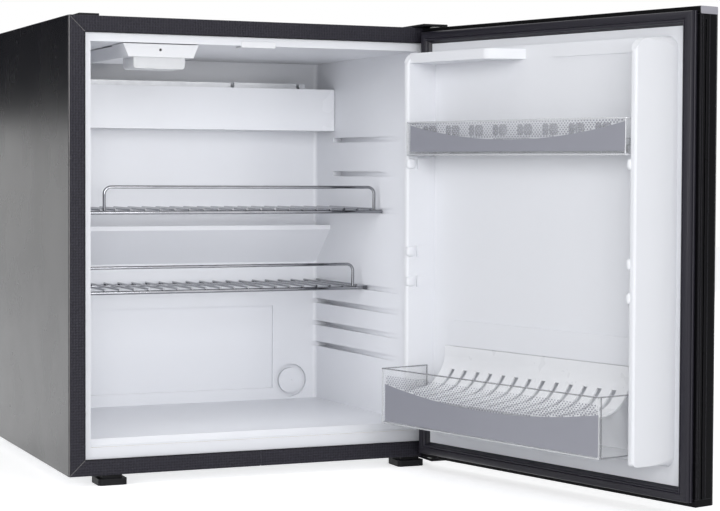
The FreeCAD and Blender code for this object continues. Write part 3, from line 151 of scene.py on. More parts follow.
def seenDirectly(tree):
    # one where a surface is seen by the camera, in a mirror or through clear plastic
    path = addNode(tree, "ShaderNodeLightPath")
    seen = addNode(tree, "ShaderNodeMath", operation="MAXIMUM")
    tree.links.new(path.outputs["Is Camera Ray"], seen.inputs[0])
    tree.links.new(path.outputs["Is Glossy Ray"], seen.inputs[1])
    seenThrough = addNode(tree, "ShaderNodeMath", operation="MAXIMUM")
    tree.links.new(seen.outputs["Value"], seenThrough.inputs[0])
    tree.links.new(path.outputs["Is Transmission Ray"], seenThrough.inputs[1])
    return seenThrough.outputs["Value"]


def makeFinish(name, look):
    # colour and shade blend over mottle, gloss is the range of roughness over haze, and grain lists the bumps
    # as (kind, size, height, strength); the pebble colour is a painted highlight on the pebble ridges, the
    # edge colour a painted highlight along edges of dark finishes and painted shade along those of pale ones,
    # and clear, which needs the edge colour, lets light through
    made, tree, shader = startSurface(name)
    point = addNode(tree, "ShaderNodeTexCoord").outputs["Object"]
    stretch = look.get("stretch", (1, 1, 1))
    mottle = noiseField(tree, point, look["mottle"], fieldRanges["mottleDetail"], stretch)
    tint = blendColours(tree, mottle, look["colour"], look["shade"], fieldRanges["mottleLow"],
                        fieldRanges["mottleHigh"])
    if "pebbleSheen" in look:
        # the pebble colour is a painted highlight, lighter where the pebble bump stands higher
        size, colour, amount = look["pebbleSheen"]
        tint = paintShading(tree, tint, pebbleField(tree, point, size), colour, amount)
    if "paintedEdgeShading" in look:
        paintedShadingMask = edgeField(tree, look["edgeShadingReach"])
        tint = paintShading(tree, tint, paintedShadingMask, *look["paintedEdgeShading"])
    tree.links.new(tint, shader.inputs["Base Color"])
    haze = noiseField(tree, point, look["haze"], fieldRanges["hazeDetail"], stretch)
    tree.links.new(spreadValue(tree, haze, *look["gloss"]), shader.inputs["Roughness"])
    normal = None
    for kind, size, height, strength in look["grain"]:
        if kind == "pebble":
            field = pebbleField(tree, point, size)
        else:
            field = noiseField(tree, point, size, fieldRanges["grainDetail"], stretch)
        normal = bumpFrom(tree, field, height, strength, normal)
    tree.links.new(normal, shader.inputs["Normal"])
    if "clear" in look:
        # see-through when looked at squarely, bright at a glancing angle
        rim = addNode(tree, "ShaderNodeLayerWeight", Blend=0.5)
        body = addNode(tree, "ShaderNodeMapRange")
        body.inputs["From Min"].default_value = look["clear"]["from"]
        body.inputs["From Max"].default_value = 1.0
        body.inputs["To Min"].default_value = look["clear"]["square"]
        body.inputs["To Max"].default_value = look["clear"]["glancing"]
        tree.links.new(rim.outputs["Facing"], body.inputs["Value"])
        # more solid along edges and creases, so that the painted edge highlight and shade show there
        edge = addNode(tree, "ShaderNodeMath", operation="MULTIPLY")
        edge.inputs[1].default_value = look["clear"]["edge"]
        tree.links.new(paintedShadingMask, edge.inputs[0])
        thick = addNode(tree, "ShaderNodeMath", operation="MAXIMUM")
        tree.links.new(body.outputs["Result"], thick.inputs[0])
        tree.links.new(edge.outputs["Value"], thick.inputs[1])
        tree.links.new(thick.outputs["Value"], shader.inputs["Alpha"])
    for socket, value in look.get("sockets", {}).items():
        shader.inputs[socket].default_value = value
    return made


# Finishes, each with its colours in linear light; the edge colour is a painted highlight on the black and
# dark grey finishes and painted shade on the clear, pale and zinc ones
finishes = {
    "satinBlackSteel": {"colour": (0.0065, 0.0065, 0.0080), "shade": (0.0080, 0.0080, 0.0098),
                        "mottle": 0.20, "gloss": (0.25, 0.29), "haze": 0.10,
                        "grain": [("noise", 0.0080, 0.00004, 0.08)],
                        "paintedEdgeShading": ((0.30, 0.30, 0.31), 0.35), "edgeShadingReach": 0.0016,
                        "sockets": {"Specular IOR Level": 0.5}},
    "embossedBlackFrame": {"colour": (0.0075, 0.0070, 0.0110), "shade": (0.0095, 0.0088, 0.0135),
                           "mottle": 0.05, "gloss": (0.36, 0.44), "haze": 0.02,
                           # pebble colour: a painted highlight on the raised pebble ridges
                           "pebbleSheen": (0.0034, (0.040, 0.038, 0.052), 0.75),
                           "grain": [("pebble", 0.0034, 0.0009, 0.70), ("noise", 0.0007, 0.0001, 0.15)],
                           "paintedEdgeShading": ((0.110, 0.108, 0.124), 0.6), "edgeShadingReach": 0.0014,
                           "sockets": {"Specular IOR Level": 0.16}},
    "smoothBlackPlastic": {"colour": (0.0022, 0.0021, 0.0028), "shade": (0.0032, 0.0031, 0.0040),
                           "mottle": 0.08, "gloss": (0.26, 0.32), "haze": 0.03,
                           "grain": [("noise", 0.0016, 0.00004, 0.12)],
                           "paintedEdgeShading": ((0.060, 0.058, 0.068), 0.6), "edgeShadingReach": 0.0009,
                           "sockets": {"Specular IOR Level": 0.06}},
    "mattBlackPlastic": {"colour": (0.0045, 0.0045, 0.0058), "shade": (0.0065, 0.0065, 0.0080),
                         "mottle": 0.02, "gloss": (0.42, 0.52), "haze": 0.01,
                         "grain": [("noise", 0.0008, 0.00014, 0.35)],
                         "paintedEdgeShading": ((0.035, 0.035, 0.040), 0.4), "edgeShadingReach": 0.0012,
                         "sockets": {"Specular IOR Level": 0.16}},
    "sealRubber": {"colour": (0.0110, 0.0100, 0.0160), "shade": (0.0135, 0.0124, 0.0190), "mottle": 0.04,
                   "gloss": (0.36, 0.44), "haze": 0.02, "grain": [("noise", 0.0012, 0.00006, 0.2)],
                   "paintedEdgeShading": ((0.075, 0.071, 0.092), 0.5), "edgeShadingReach": 0.0010,
                   "sockets": {"Specular IOR Level": 0.28}},
    "linerWhite": {"colour": (0.735, 0.745, 0.780), "shade": (0.715, 0.728, 0.766), "mottle": 0.30,
                   "gloss": (0.30, 0.34), "haze": 0.12, "grain": [("noise", 0.0300, 0.00020, 0.12)]},
    "doorLinerWhite": {"colour": (0.745, 0.755, 0.788), "shade": (0.728, 0.739, 0.774), "mottle": 0.30,
                       "gloss": (0.46, 0.52), "haze": 0.12, "grain": [("noise", 0.0300, 0.00020, 0.12)],
                       "sockets": {"Specular IOR Level": 0.26}},
    "coverWhite": {"colour": (0.750, 0.762, 0.795), "shade": (0.735, 0.748, 0.784), "mottle": 0.25,
                   "gloss": (0.24, 0.28), "haze": 0.10, "grain": [("noise", 0.0400, 0.00020, 0.10)]},
    "lampWhite": {"colour": (0.735, 0.742, 0.768), "shade": (0.715, 0.723, 0.750), "mottle": 0.06,
                  "gloss": (0.40, 0.46), "haze": 0.03, "grain": [("noise", 0.0012, 0.00004, 0.12)]},
    "combWhite": {"colour": (0.770, 0.778, 0.800), "shade": (0.745, 0.754, 0.780), "mottle": 0.08,
                  "gloss": (0.26, 0.32), "haze": 0.04, "grain": [("noise", 0.0200, 0.00015, 0.12)]},
    "frostedLens": {"colour": (0.800, 0.810, 0.830), "shade": (0.760, 0.770, 0.795), "mottle": 0.02,
                    "gloss": (0.30, 0.42), "haze": 0.01, "grain": [("noise", 0.0025, 0.0002, 0.25)],
                    "sockets": {"Transmission Weight": 0.25, "IOR": 1.49}},
    "sensorGloss": {"colour": (0.0060, 0.0060, 0.0070), "shade": (0.010, 0.010, 0.012), "mottle": 0.003,
                    "gloss": (0.08, 0.14), "haze": 0.002, "grain": [("noise", 0.001, 0.00003, 0.15)]},
    "chromeWire": {"colour": (0.29, 0.294, 0.312), "shade": (0.21, 0.214, 0.230), "mottle": 0.02,
                   "gloss": (0.04, 0.08), "haze": 0.006, "grain": [("noise", 0.0015, 0.00004, 0.2)],
                   "sockets": {"Metallic": 1.0}},
    "clearRack": {"colour": (0.80, 0.815, 0.835), "shade": (0.78, 0.797, 0.820), "mottle": 0.05,
                  "gloss": (0.04, 0.08), "haze": 0.02, "grain": [("noise", 0.010, 0.00006, 0.08)],
                  "paintedEdgeShading": ((0.16, 0.165, 0.185), 1.0), "edgeShadingReach": 0.0014,
                  "clear": {"from": 0.45, "square": 0.07, "glancing": 0.80, "edge": 0.75}},
    "greyPrint": {"colour": (0.268, 0.272, 0.312), "shade": (0.255, 0.259, 0.298), "mottle": 0.08,
                  "gloss": (0.32, 0.38), "haze": 0.03, "grain": [("noise", 0.001, 0.00002, 0.1)]},
    # dark grey bead colour: painted shade along the lower rack's thick edges
    "clearEdge": {"colour": (0.24, 0.245, 0.268), "shade": (0.19, 0.195, 0.215), "mottle": 0.02,
                  "gloss": (0.05, 0.10), "haze": 0.01, "grain": [("noise", 0.004, 0.00004, 0.1)],
                  "paintedEdgeShading": ((0.60, 0.61, 0.63), 0.3), "edgeShadingReach": 0.0006,
                  "clear": {"from": 0.40, "square": 0.50, "glancing": 0.95, "edge": 0.6}},
    # white bead colour: painted highlight along the racks' thick edges
    "highlitClearEdge": {"colour": (0.74, 0.75, 0.78), "shade": (0.70, 0.71, 0.74), "mottle": 0.02,
                 "gloss": (0.06, 0.12), "haze": 0.01, "grain": [("noise", 0.004, 0.00004, 0.1)],
                 "paintedEdgeShading": ((0.50, 0.51, 0.54), 0.3), "edgeShadingReach": 0.0006,
                 "clear": {"from": 0.40, "square": 0.80, "glancing": 0.95, "edge": 0.8}},
    "smokedTab": {"colour": (0.40, 0.405, 0.44), "shade": (0.37, 0.375, 0.41), "mottle": 0.01,
                  "gloss": (0.10, 0.18), "haze": 0.006, "grain": [("noise", 0.002, 0.00004, 0.1)],
                  "paintedEdgeShading": ((0.26, 0.265, 0.29), 0.8), "edgeShadingReach": 0.0008,
                  "clear": {"from": 0.45, "square": 0.42, "glancing": 0.85, "edge": 0.6}},
    "brushedAluminium": {"colour": (0.40, 0.395, 0.44), "shade": (0.34, 0.335, 0.375), "mottle": 0.003,
                         "gloss": (0.28, 0.40), "haze": 0.002, "stretch": (0.08, 0.08, 1),
                         "grain": [("noise", 0.0006, 0.00004, 0.2)], "sockets": {"Metallic": 1.0}},
    # pale metal colour: a painted highlight for the frame's lip and mitre beads
    "edgeHighlightMetal": {"colour": (0.190, 0.184, 0.182), "shade": (0.130, 0.126, 0.125), "mottle": 0.02,
                "gloss": (0.30, 0.40), "haze": 0.01, "grain": [("noise", 0.0020, 0.00003, 0.1)],
                "sockets": {"Metallic": 1.0}},
    "coldPlate": {"colour": (0.62, 0.63, 0.65), "shade": (0.54, 0.55, 0.57), "mottle": 0.02,
                  "gloss": (0.34, 0.46), "haze": 0.01, "grain": [("noise", 0.002, 0.00006, 0.2)],
                  "sockets": {"Metallic": 0.85}},
    "zincSteel": {"colour": (0.48, 0.49, 0.50), "shade": (0.36, 0.37, 0.385), "mottle": 0.012,
                  "gloss": (0.28, 0.48), "haze": 0.006, "grain": [("noise", 0.0015, 0.0001, 0.3)],
                  "sockets": {"Metallic": 1.0}},
    "spangledSteel": {"colour": (0.50, 0.51, 0.52), "shade": (0.40, 0.41, 0.43), "mottle": 0.018,
                      "gloss": (0.30, 0.48), "haze": 0.015, "grain": [("pebble", 0.012, 0.00008, 0.15)],
                      "paintedEdgeShading": ((0.30, 0.30, 0.31), 0.5), "edgeShadingReach": 0.0015,
                      "sockets": {"Metallic": 0.9}},
    "unitBlackEnamel": {"colour": (0.012, 0.012, 0.013), "shade": (0.020, 0.019, 0.018), "mottle": 0.03,
                        "gloss": (0.28, 0.44), "haze": 0.012, "grain": [("noise", 0.004, 0.0002, 0.25)],
                        "sockets": {"Specular IOR Level": 0.4}},
    "finAluminium": {"colour": (0.55, 0.56, 0.57), "shade": (0.45, 0.46, 0.475), "mottle": 0.01,
                     "gloss": (0.30, 0.45), "haze": 0.006, "grain": [("noise", 0.003, 0.0001, 0.3)],
                     "sockets": {"Metallic": 1.0}},
    "backGrey": {"colour": (0.060, 0.061, 0.064), "shade": (0.072, 0.073, 0.077), "mottle": 0.12,
                 "gloss": (0.40, 0.50), "haze": 0.05, "grain": [("noise", 0.0012, 0.00008, 0.2)],
                 "paintedEdgeShading": ((0.20, 0.20, 0.21), 0.4), "edgeShadingReach": 0.0012},
    "boxGrey": {"colour": (0.030, 0.031, 0.034), "shade": (0.024, 0.025, 0.028), "mottle": 0.05,
                "gloss": (0.38, 0.50), "haze": 0.01, "grain": [("noise", 0.0009, 0.00016, 0.45)],
                "paintedEdgeShading": ((0.07, 0.07, 0.075), 0.4), "edgeShadingReach": 0.0014},
    "boardGreen": {"colour": (0.02, 0.10, 0.045), "shade": (0.015, 0.075, 0.035), "mottle": 0.01,
                   "gloss": (0.25, 0.4), "haze": 0.004, "grain": [("noise", 0.002, 0.0001, 0.3)]},
    "foamCream": {"colour": (0.62, 0.52, 0.33), "shade": (0.52, 0.42, 0.25), "mottle": 0.02,
                  "gloss": (0.75, 0.9), "haze": 0.01, "grain": [("pebble", 0.0014, 0.0006, 0.6)]},
    "drainGrey": {"colour": (0.30, 0.31, 0.32), "shade": (0.25, 0.26, 0.27), "mottle": 0.03,
                  "gloss": (0.35, 0.5), "haze": 0.01, "grain": [("noise", 0.002, 0.0001, 0.2)]},
    "magnetFerrite": {"colour": (0.035, 0.033, 0.032), "shade": (0.05, 0.047, 0.045), "mottle": 0.01,
                      "gloss": (0.5, 0.65), "haze": 0.005, "grain": [("noise", 0.0008, 0.0001, 0.3)]},
    "bushNylon": {"colour": (0.55, 0.55, 0.53), "shade": (0.50, 0.50, 0.48), "mottle": 0.01,
                  "gloss": (0.35, 0.5), "haze": 0.005, "grain": [("noise", 0.001, 0.0001, 0.25)]},
}
surfaces = {name: makeFinish(name, look) for name, look in finishes.items()}
print("finishes:", len(surfaces))

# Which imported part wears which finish
wears = {
    "satinBlackSteel": ["outer_case", "door_panel"],
    "embossedBlackFrame": ["frame_top", "frame_left", "frame_right", "frame_bottom_left",
                           "frame_bottom_right"],
    "smoothBlackPlastic": ["door_hinge_stile", "door_free_stile", "door_top_trim", "door_bottom_trim"],
    "mattBlackPlastic": ["front_left_foot", "front_right_foot", "rear_left_foot", "rear_right_foot",
                         "upper_hinge_plate", "lower_hinge_plate", "hinge_hole_plug", "drip_tray",
                         "mains_inlet"],
    "sealRubber": ["door_gasket"],
    "linerWhite": ["inner_liner", "wall_plug"],
    "doorLinerWhite": ["door_liner"],
    "coverWhite": ["evaporator_cover"],
    "lampWhite": ["lamp_housing", "door_keeper"],
    "combWhite": ["bottle_comb"],
    "frostedLens": ["lamp_lens"],
    "sensorGloss": ["lamp_sensor"],
    "chromeWire": ["upper_shelf", "upper_shelf_guard", "lower_shelf", "lower_shelf_guard"],
    "clearRack": ["upper_rack", "lower_rack"],
    "coldPlate": ["evaporator_block"],
    "zincSteel": ["hinge_pins", "hinge_screws", "heater_cartridge"],
    "spangledSteel": ["base_pan", "unit_rails", "boiler_jacket"],
    "unitBlackEnamel": ["absorber_vessel", "absorber_coil", "evaporator_tube", "condenser_tube",
                        "boiler_tube"],
    "finAluminium": ["condenser_fins"],
    "backGrey": ["back_panel"],
    "boxGrey": ["control_box"],
    "boardGreen": ["control_board", "lamp_board"],
    "foamCream": ["cabinet_foam", "door_foam"],
    "drainGrey": ["drain_tube"],
    "magnetFerrite": ["gasket_magnets"],
    "bushNylon": ["lower_hinge_bush", "upper_hinge_bush"],
}
bare = set(parts)
for finish, names in wears.items():
    for name in names:
        mesh = parts[name].data
        mesh.materials.clear()
        mesh.materials.append(surfaces[finish])
        bare.discard(name)
print("parts without a finish:", sorted(bare))

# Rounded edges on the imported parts: a width for each, and how all are cut
roundCut = {"seam": 0.000002, "steps": 2, "sharperDeg": 35, "flatWeight": 100}
edgeRounds = {
    "outer_case": 0.0009, "door_panel": 0.0006,
    "frame_top": 0.0011, "frame_left": 0.0011, "frame_right": 0.0011,
    "frame_bottom_left": 0.0011, "frame_bottom_right": 0.0011,
    "door_hinge_stile": 0.0005, "door_free_stile": 0.0005,
    "door_top_trim": 0.0005, "door_bottom_trim": 0.0005,
    "inner_liner": 0.0022, "door_liner": 0.0016, "evaporator_cover": 0.0008, "lamp_housing": 0.0012,
    "door_keeper": 0.0006, "lamp_lens": 0.0014, "wall_plug": 0.0016, "bottle_comb": 0.0007,
    "upper_rack": 0.0006, "lower_rack": 0.0006,
    "front_left_foot": 0.0012, "front_right_foot": 0.0012,
    "rear_left_foot": 0.0012, "rear_right_foot": 0.0012,
    "upper_hinge_plate": 0.0007, "lower_hinge_plate": 0.0007, "hinge_hole_plug": 0.0008,
    "hinge_screws": 0.0005, "control_box": 0.0012, "mains_inlet": 0.0004, "drip_tray": 0.0006,
    "boiler_jacket": 0.0015, "absorber_vessel": 0.003, "unit_rails": 0.0004, "evaporator_block": 0.0004,
}
for name, width in edgeRounds.items():
    weld = parts[name].modifiers.new("joinSeams", "WELD")
    weld.merge_threshold = roundCut["seam"]
    rounding = parts[name].modifiers.new("edgeRound", "BEVEL")
    rounding.width = width
    rounding.segments = roundCut["steps"]
    rounding.limit_method = "ANGLE"
    rounding.angle_limit = math.radians(roundCut["sharperDeg"])
    flatten = parts[name].modifiers.new("flatFaces", "WEIGHTED_NORMAL")
    flatten.mode = "FACE_AREA"
    flatten.weight = roundCut["flatWeight"]
print("rounded parts:", len(edgeRounds))


# Pieces made here
def linkMesh(name, work, surface):
    # closes bmesh work into an object with one surface
    mesh = bpy.data.meshes.new(name)
    work.to_mesh(mesh)
    work.free()
    mesh.materials.append(surface)
    made = bpy.data.objects.new(name, mesh)
    scene.collection.objects.link(made)
    return made


def addPiece(name, build, finish, body, turn=None):
    # one finished piece from bmesh code, riding on its body
    work = bmesh.new()
    build(work)
    bmesh.ops.recalc_face_normals(work, faces=work.faces)
    if turn is not None:
        work.transform(turn)
    piece = linkMesh(name, work, surfaces[finish])
    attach(piece, body)
    return piece


def smoothBut(piece, angleDeg):
    # smooth shading with edges sharper than the angle kept crisp
    work = bmesh.new()
    work.from_mesh(piece.data)
    for face in work.faces:
        face.smooth = True
    for edge in work.edges:
        edge.smooth = not (len(edge.link_faces) == 2 and edge.calc_face_angle() > math.radians(angleDeg))
    work.to_mesh(piece.data)
    work.free()


# Door seal: a folded magnet profile, in millimetres, run round the door and mitred at its corners
doorSeal = {
    "halfWidth": 0.238, "low": 0.0196, "high": 0.5634, "back": -0.011, "crispDeg": 42,
    "fold": [(0.0, 0.0), (0.0, 1.8), (0.9, 2.6), (0.3, 3.6), (0.1, 5.4), (0.5, 7.6), (1.6, 9.3),
             (3.2, 10.2), (5.2, 10.5), (8.2, 10.5), (8.9, 10.1), (9.2, 9.0), (9.6, 8.7), (10.1, 8.9),
             (10.5, 9.8), (11.3, 10.0), (12.4, 9.3), (13.0, 8.0), (12.6, 6.8), (12.9, 5.6), (14.0, 4.4),
             (14.7, 3.2), (15.2, 1.8), (16.2, 1.0), (16.2, 0.0)],
}


def buildSeal(work):
    rings = []
    for signX, signZ in ((-1, -1), (1, -1), (1, 1), (-1, 1)):
        ring = []
        for inward, height in doorSeal["fold"]:
            inset = inward / 1000
            x = signX * (doorSeal["halfWidth"] - inset)
            z = doorSeal["low"] + inset if signZ < 0 else doorSeal["high"] - inset
            ring.append(work.verts.new((x, doorSeal["back"] + height / 1000, z)))
        rings.append(ring)
    count = len(doorSeal["fold"])
    for corner, here in enumerate(rings):
        there = rings[(corner + 1) % len(rings)]
        for n in range(count):
            m = (n + 1) % count
            work.faces.new((here[n], here[m], there[m], there[n]))


seal = addPiece("doorSeal", buildSeal, "sealRubber", "door", doorSwing)
smoothBut(seal, doorSeal["crispDeg"])
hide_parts("door_gasket")
print("door seal:", len(seal.data.polygons), "faces")

# Printed bands on the clear racks, with rows of dots that thin out above the arc
rackPrints = {
    "upperRackPrint": {"body": "upper_rack", "face": 0.0547, "left": -0.1940, "right": 0.1860, "low": 0.4086,
                       "endHigh": 0.4415, "midHigh": 0.4225, "top": 0.4450, "across": 0.0050, "up": 0.0024,
                       "fade": 0.034},
    "lowerRackPrint": {"body": "lower_rack", "face": 0.0921, "left": -0.1945, "right": 0.1865, "low": 0.0742,
                       "endHigh": 0.1205, "midHigh": 0.1050, "top": 0.1330, "across": 0.0050, "up": 0.0024,
                       "fade": 0.030},
}
# Sizes of a dot are shares of its row's pitch: wide at the arc, smaller by shrink at the fade's end
printDots = {"arcSteps": 64, "corners": 8, "clear": 0.3, "wide": 0.46, "shrink": 0.20, "narrow": 0.72}


def printArc(look, x):
    # height of the band's arc, lowest at its middle
    middle = (look["left"] + look["right"]) / 2
    share = (x - middle) / (look["right"] - middle)
    return look["midHigh"] + (look["endHigh"] - look["midHigh"]) * share ** 2


def buildPrint(look):
    def build(work):
        steps, sides = printDots["arcSteps"], printDots["corners"]
        bottom, top = [], []
        for n in range(steps + 1):
            x = look["left"] + (look["right"] - look["left"]) * n / steps
            bottom.append(work.verts.new((x, look["face"], look["low"])))
            top.append(work.verts.new((x, look["face"], printArc(look, x))))
        for n in range(steps):
            work.faces.new((bottom[n], bottom[n + 1], top[n + 1], top[n]))
        rows = int((look["top"] - look["midHigh"]) / look["up"])
        columns = int((look["right"] - look["left"]) / look["across"])
        for row in range(rows):
            z = look["midHigh"] + look["up"] * (row + 0.5)
            for column in range(1, columns):
                x = look["left"] + (column + 0.5 * (row % 2)) * look["across"]
                above = z - printArc(look, x)
                if above < look["up"] * printDots["clear"]:
                    continue
                size = printDots["wide"] - printDots["shrink"] * above / look["fade"]
                halfX = size * look["across"] * printDots["narrow"]
                halfZ = size * look["up"]
                corners = []
                for n in range(sides):
                    angle = (n + 0.5) * 2 * math.pi / sides
                    corners.append(work.verts.new((x + halfX * math.cos(angle), look["face"],
                                                   z + halfZ * math.sin(angle))))
                work.faces.new(corners)
    return build


for name, look in rackPrints.items():
    band = addPiece(name, buildPrint(look), "greyPrint", look["body"], doorSwing)
    print(name, len(band.data.polygons), "faces")

# Thick edges of the clear racks: beads along rims and corners, the white ones a painted highlight and the
# dark grey one painted shade of the thick plastic, each path a list of side, depth and level
beadCut = {"sides": 8, "crispDeg": 50}
rackEdges = {
    "upperRackEdge": {"body": "upper_rack", "finish": "highlitClearEdge", "half": 0.1942, "bead": 0.0009,
                      "depths": {"back": 0.0082, "front": 0.0536}, "levels": {"low": 0.4049, "high": 0.4451},
                      "paths": ["1 back high, 1 front high, -1 front high, -1 back high",
                                "1 back low, 1 front low, -1 front low, -1 back low",
                                "1 front low, 1 front high", "-1 front low, -1 front high",
                                "1 back low, 1 back high", "-1 back low, -1 back high"]},
    "lowerRackEdge": {"body": "lower_rack", "finish": "clearEdge", "half": 0.1942, "bead": 0.0008,
                      "depths": {"back": 0.0203, "inner": 0.0868, "front": 0.0911},
                      "levels": {"low": 0.0718, "high": 0.1392},
                      "paths": ["1 back high, 1 front high, -1 front high, -1 back high",
                                "-1 back low, -1 inner low, -1 inner high", "1 back low, 1 back high"]},
    "lowerRackLip": {"body": "lower_rack", "finish": "highlitClearEdge", "half": 0.1942, "bead": 0.0009,
                     "depths": {"back": 0.0204, "front": 0.0910}, "levels": {"low": 0.0719, "high": 0.1384},
                     "paths": ["1 back low, 1 front low, -1 front low", "1 front low, 1 front high",
                               "-1 front low, -1 front high", "-1 back low, -1 back high"]},
}


def sweepBead(work, path, radius):
    # round bead along a path of corners, mitred at each one
    sides = beadCut["sides"]
    runs = [(path[n + 1] - path[n]).normalized() for n in range(len(path) - 1)]
    across = runs[0].orthogonal().normalized()
    up = runs[0].cross(across)
    ring = []
    for n in range(sides):
        angle = 2 * math.pi * n / sides
        ring.append(path[0] + (across * math.cos(angle) + up * math.sin(angle)) * radius)
    rings = [[work.verts.new(point) for point in ring]]
    for n, run in enumerate(runs):
        facing = (run + runs[n + 1]).normalized() if n + 1 < len(runs) else run
        ring = [point + run * ((path[n + 1] - point).dot(facing) / run.dot(facing)) for point in ring]
        rings.append([work.verts.new(point) for point in ring])
    for here, there in zip(rings, rings[1:]):
        for n in range(sides):
            m = (n + 1) % sides
            work.faces.new((here[n], here[m], there[m], there[n]))
    work.faces.new(rings[0])
    work.faces.new(rings[-1])


def buildRackEdge(look):
    def build(work):
        for path in look["paths"]:
            points = []
            for corner in path.split(", "):
                side, depth, level = corner.split()
                x = int(side) * (look["half"] - look["bead"])
                points.append(Vector((x, look["depths"][depth], look["levels"][level])))
            sweepBead(work, points, look["bead"])
    return build


for name, look in rackEdges.items():
    edge = addPiece(name, buildRackEdge(look), look["finish"], look["body"], doorSwing)
    smoothBut(edge, beadCut["crispDeg"])
    print(name, len(edge.data.polygons), "faces")

# Bottle stops: two bowed leaves behind the upper rack's front at each divider
bottleStops = {"first": -0.154, "pitch": 0.044, "count": 8, "near": 0.0010, "far": 0.0125, "front": 0.0518,
               "bow": 0.0022, "thick": 0.0010, "low": 0.4275, "high": 0.4405, "corner": 0.0032,
               "steps": 8, "crispDeg": 40}


def buildLeaf(work, middle, side):
    # one leaf from the divider outwards, bowed back and rounded at its four corners
    steps = bottleStops["steps"]
    near, far = bottleStops["near"], bottleStops["far"]
    half = (far - near) / 2
    fronts, backs = [], []
    for n in range(steps + 1):
        along = near + (far - near) * n / steps
        x = middle + side * along
        y = bottleStops["front"] - bottleStops["bow"] * (along / far) ** 2
        inset = max(0.0, abs(along - near - half) - half + bottleStops["corner"])
        drop = bottleStops["corner"] - math.sqrt(max(0.0, bottleStops["corner"] ** 2 - inset ** 2))
        for row, shift in ((fronts, 0.0), (backs, bottleStops["thick"])):
            row.append((work.verts.new((x, y - shift, bottleStops["low"] + drop)),
                        work.verts.new((x, y - shift, bottleStops["high"] - drop))))
    for n in range(steps):
        work.faces.new((fronts[n][0], fronts[n + 1][0], fronts[n + 1][1], fronts[n][1]))
        work.faces.new((backs[n + 1][0], backs[n][0], backs[n][1], backs[n + 1][1]))
        work.faces.new((fronts[n][1], fronts[n + 1][1], backs[n + 1][1], backs[n][1]))
        work.faces.new((fronts[n + 1][0], fronts[n][0], backs[n][0], backs[n + 1][0]))
    for n in (0, steps):
        work.faces.new((fronts[n][0], fronts[n][1], backs[n][1], backs[n][0]))


def buildStops(work):
    for n in range(bottleStops["count"]):
        for side in (-1, 1):
            buildLeaf(work, bottleStops["first"] + bottleStops["pitch"] * n, side)


stops = addPiece("bottleStops", buildStops, "smokedTab", "upper_rack", doorSwing)
smoothBut(stops, bottleStops["crispDeg"])
print("bottle stops:", bottleStops["count"])

# Moulded bumps on the pillars' inner edges, where a rack can be hung at other heights
pillarBumps = {"inner": 0.1965, "front": 0.0505, "levels": [0.3940, 0.2840, 0.2460], "back": 0.0050,
               "reach": Vector((0.0036, 0.0068, 0.0066)), "square": 0.65, "around": 20, "rings": 12,
               "crispDeg": 60}


def squared(value):
    # pushes a sine or cosine outwards, for a rounded block in place of a ball
    return math.copysign(abs(value) ** pillarBumps["square"], value)


def buildBumps(work):
    for level in pillarBumps["levels"]:
        for side in (-1, 1):
            middle = Vector((side * pillarBumps["inner"], pillarBumps["front"] - pillarBumps["back"], level))
            made = bmesh.ops.create_uvsphere(work, u_segments=pillarBumps["around"],
                                             v_segments=pillarBumps["rings"], radius=1)
            for vert in made["verts"]:
                flat = squared(math.hypot(vert.co.x, vert.co.y))
                turn = math.atan2(vert.co.y, vert.co.x)
                shape = Vector((flat * squared(math.cos(turn)), flat * squared(math.sin(turn)),
                                squared(vert.co.z)))
                vert.co = middle + shape * pillarBumps["reach"]


bumps = addPiece("pillarBumps", buildBumps, "doorLinerWhite", "door", doorSwing)
smoothBut(bumps, pillarBumps["crispDeg"])
print("pillar bumps:", 2 * len(pillarBumps["levels"]))

# Fine lines on the front frame, all of them beads that stand a little proud of the frame's face: a pale metal
# bead along the bright left lip and along each mitre as a painted highlight, and a dark bead as painted
# shadow in the gap before the liner
frameProud = 0.0002
frameLines = {
    "frameLipHighlight": {"finish": "edgeHighlightMetal", "slot": "aluminium", "bead": 0.0005,
                 "runs": [((-0.2425, 0.0142), (-0.2425, 0.5690))]},
    "frameMitreHighlights": {"finish": "edgeHighlightMetal", "slot": "aluminium", "bead": 0.00025,
                    "runs": [((-0.2420, 0.5690), (-0.2232, 0.5502)), ((-0.2420, 0.0140), (-0.2232, 0.0328)),
                             ((0.2420, 0.5690), (0.2232, 0.5502)), ((0.2420, 0.0140), (0.2232, 0.0328))]},
    "frameGapShadow": {"finish": "smoothBlackPlastic", "slot": "black_profile", "bead": 0.0006,
                 "runs": [((-0.2234, 0.0326), (-0.2234, 0.5504)), ((-0.2234, 0.5504), (0.2234, 0.5504)),
                          ((0.2234, 0.5504), (0.2234, 0.0326)), ((0.2234, 0.0326), (-0.2234, 0.0326))]},
}


def buildFrameLine(look):
    def build(work):
        y = look["bead"] - frameProud
        for run in look["runs"]:
            sweepBead(work, [Vector((x, y, z)) for x, z in run], look["bead"])
    return build


for name, look in frameLines.items():
    line = addPiece(name, buildFrameLine(look), look["finish"], "cabinet")
    smoothBut(line, beadCut["crispDeg"])
    print(name, len(line.data.polygons), "faces")

# Bright end of the door's top trim
trimEnd = {"x": -0.243, "thick": 0.0006, "front": -0.0382, "back": -0.0112, "low": 0.5600, "high": 0.5684,
           "round": 0.0012, "steps": 4, "crispDeg": 35}


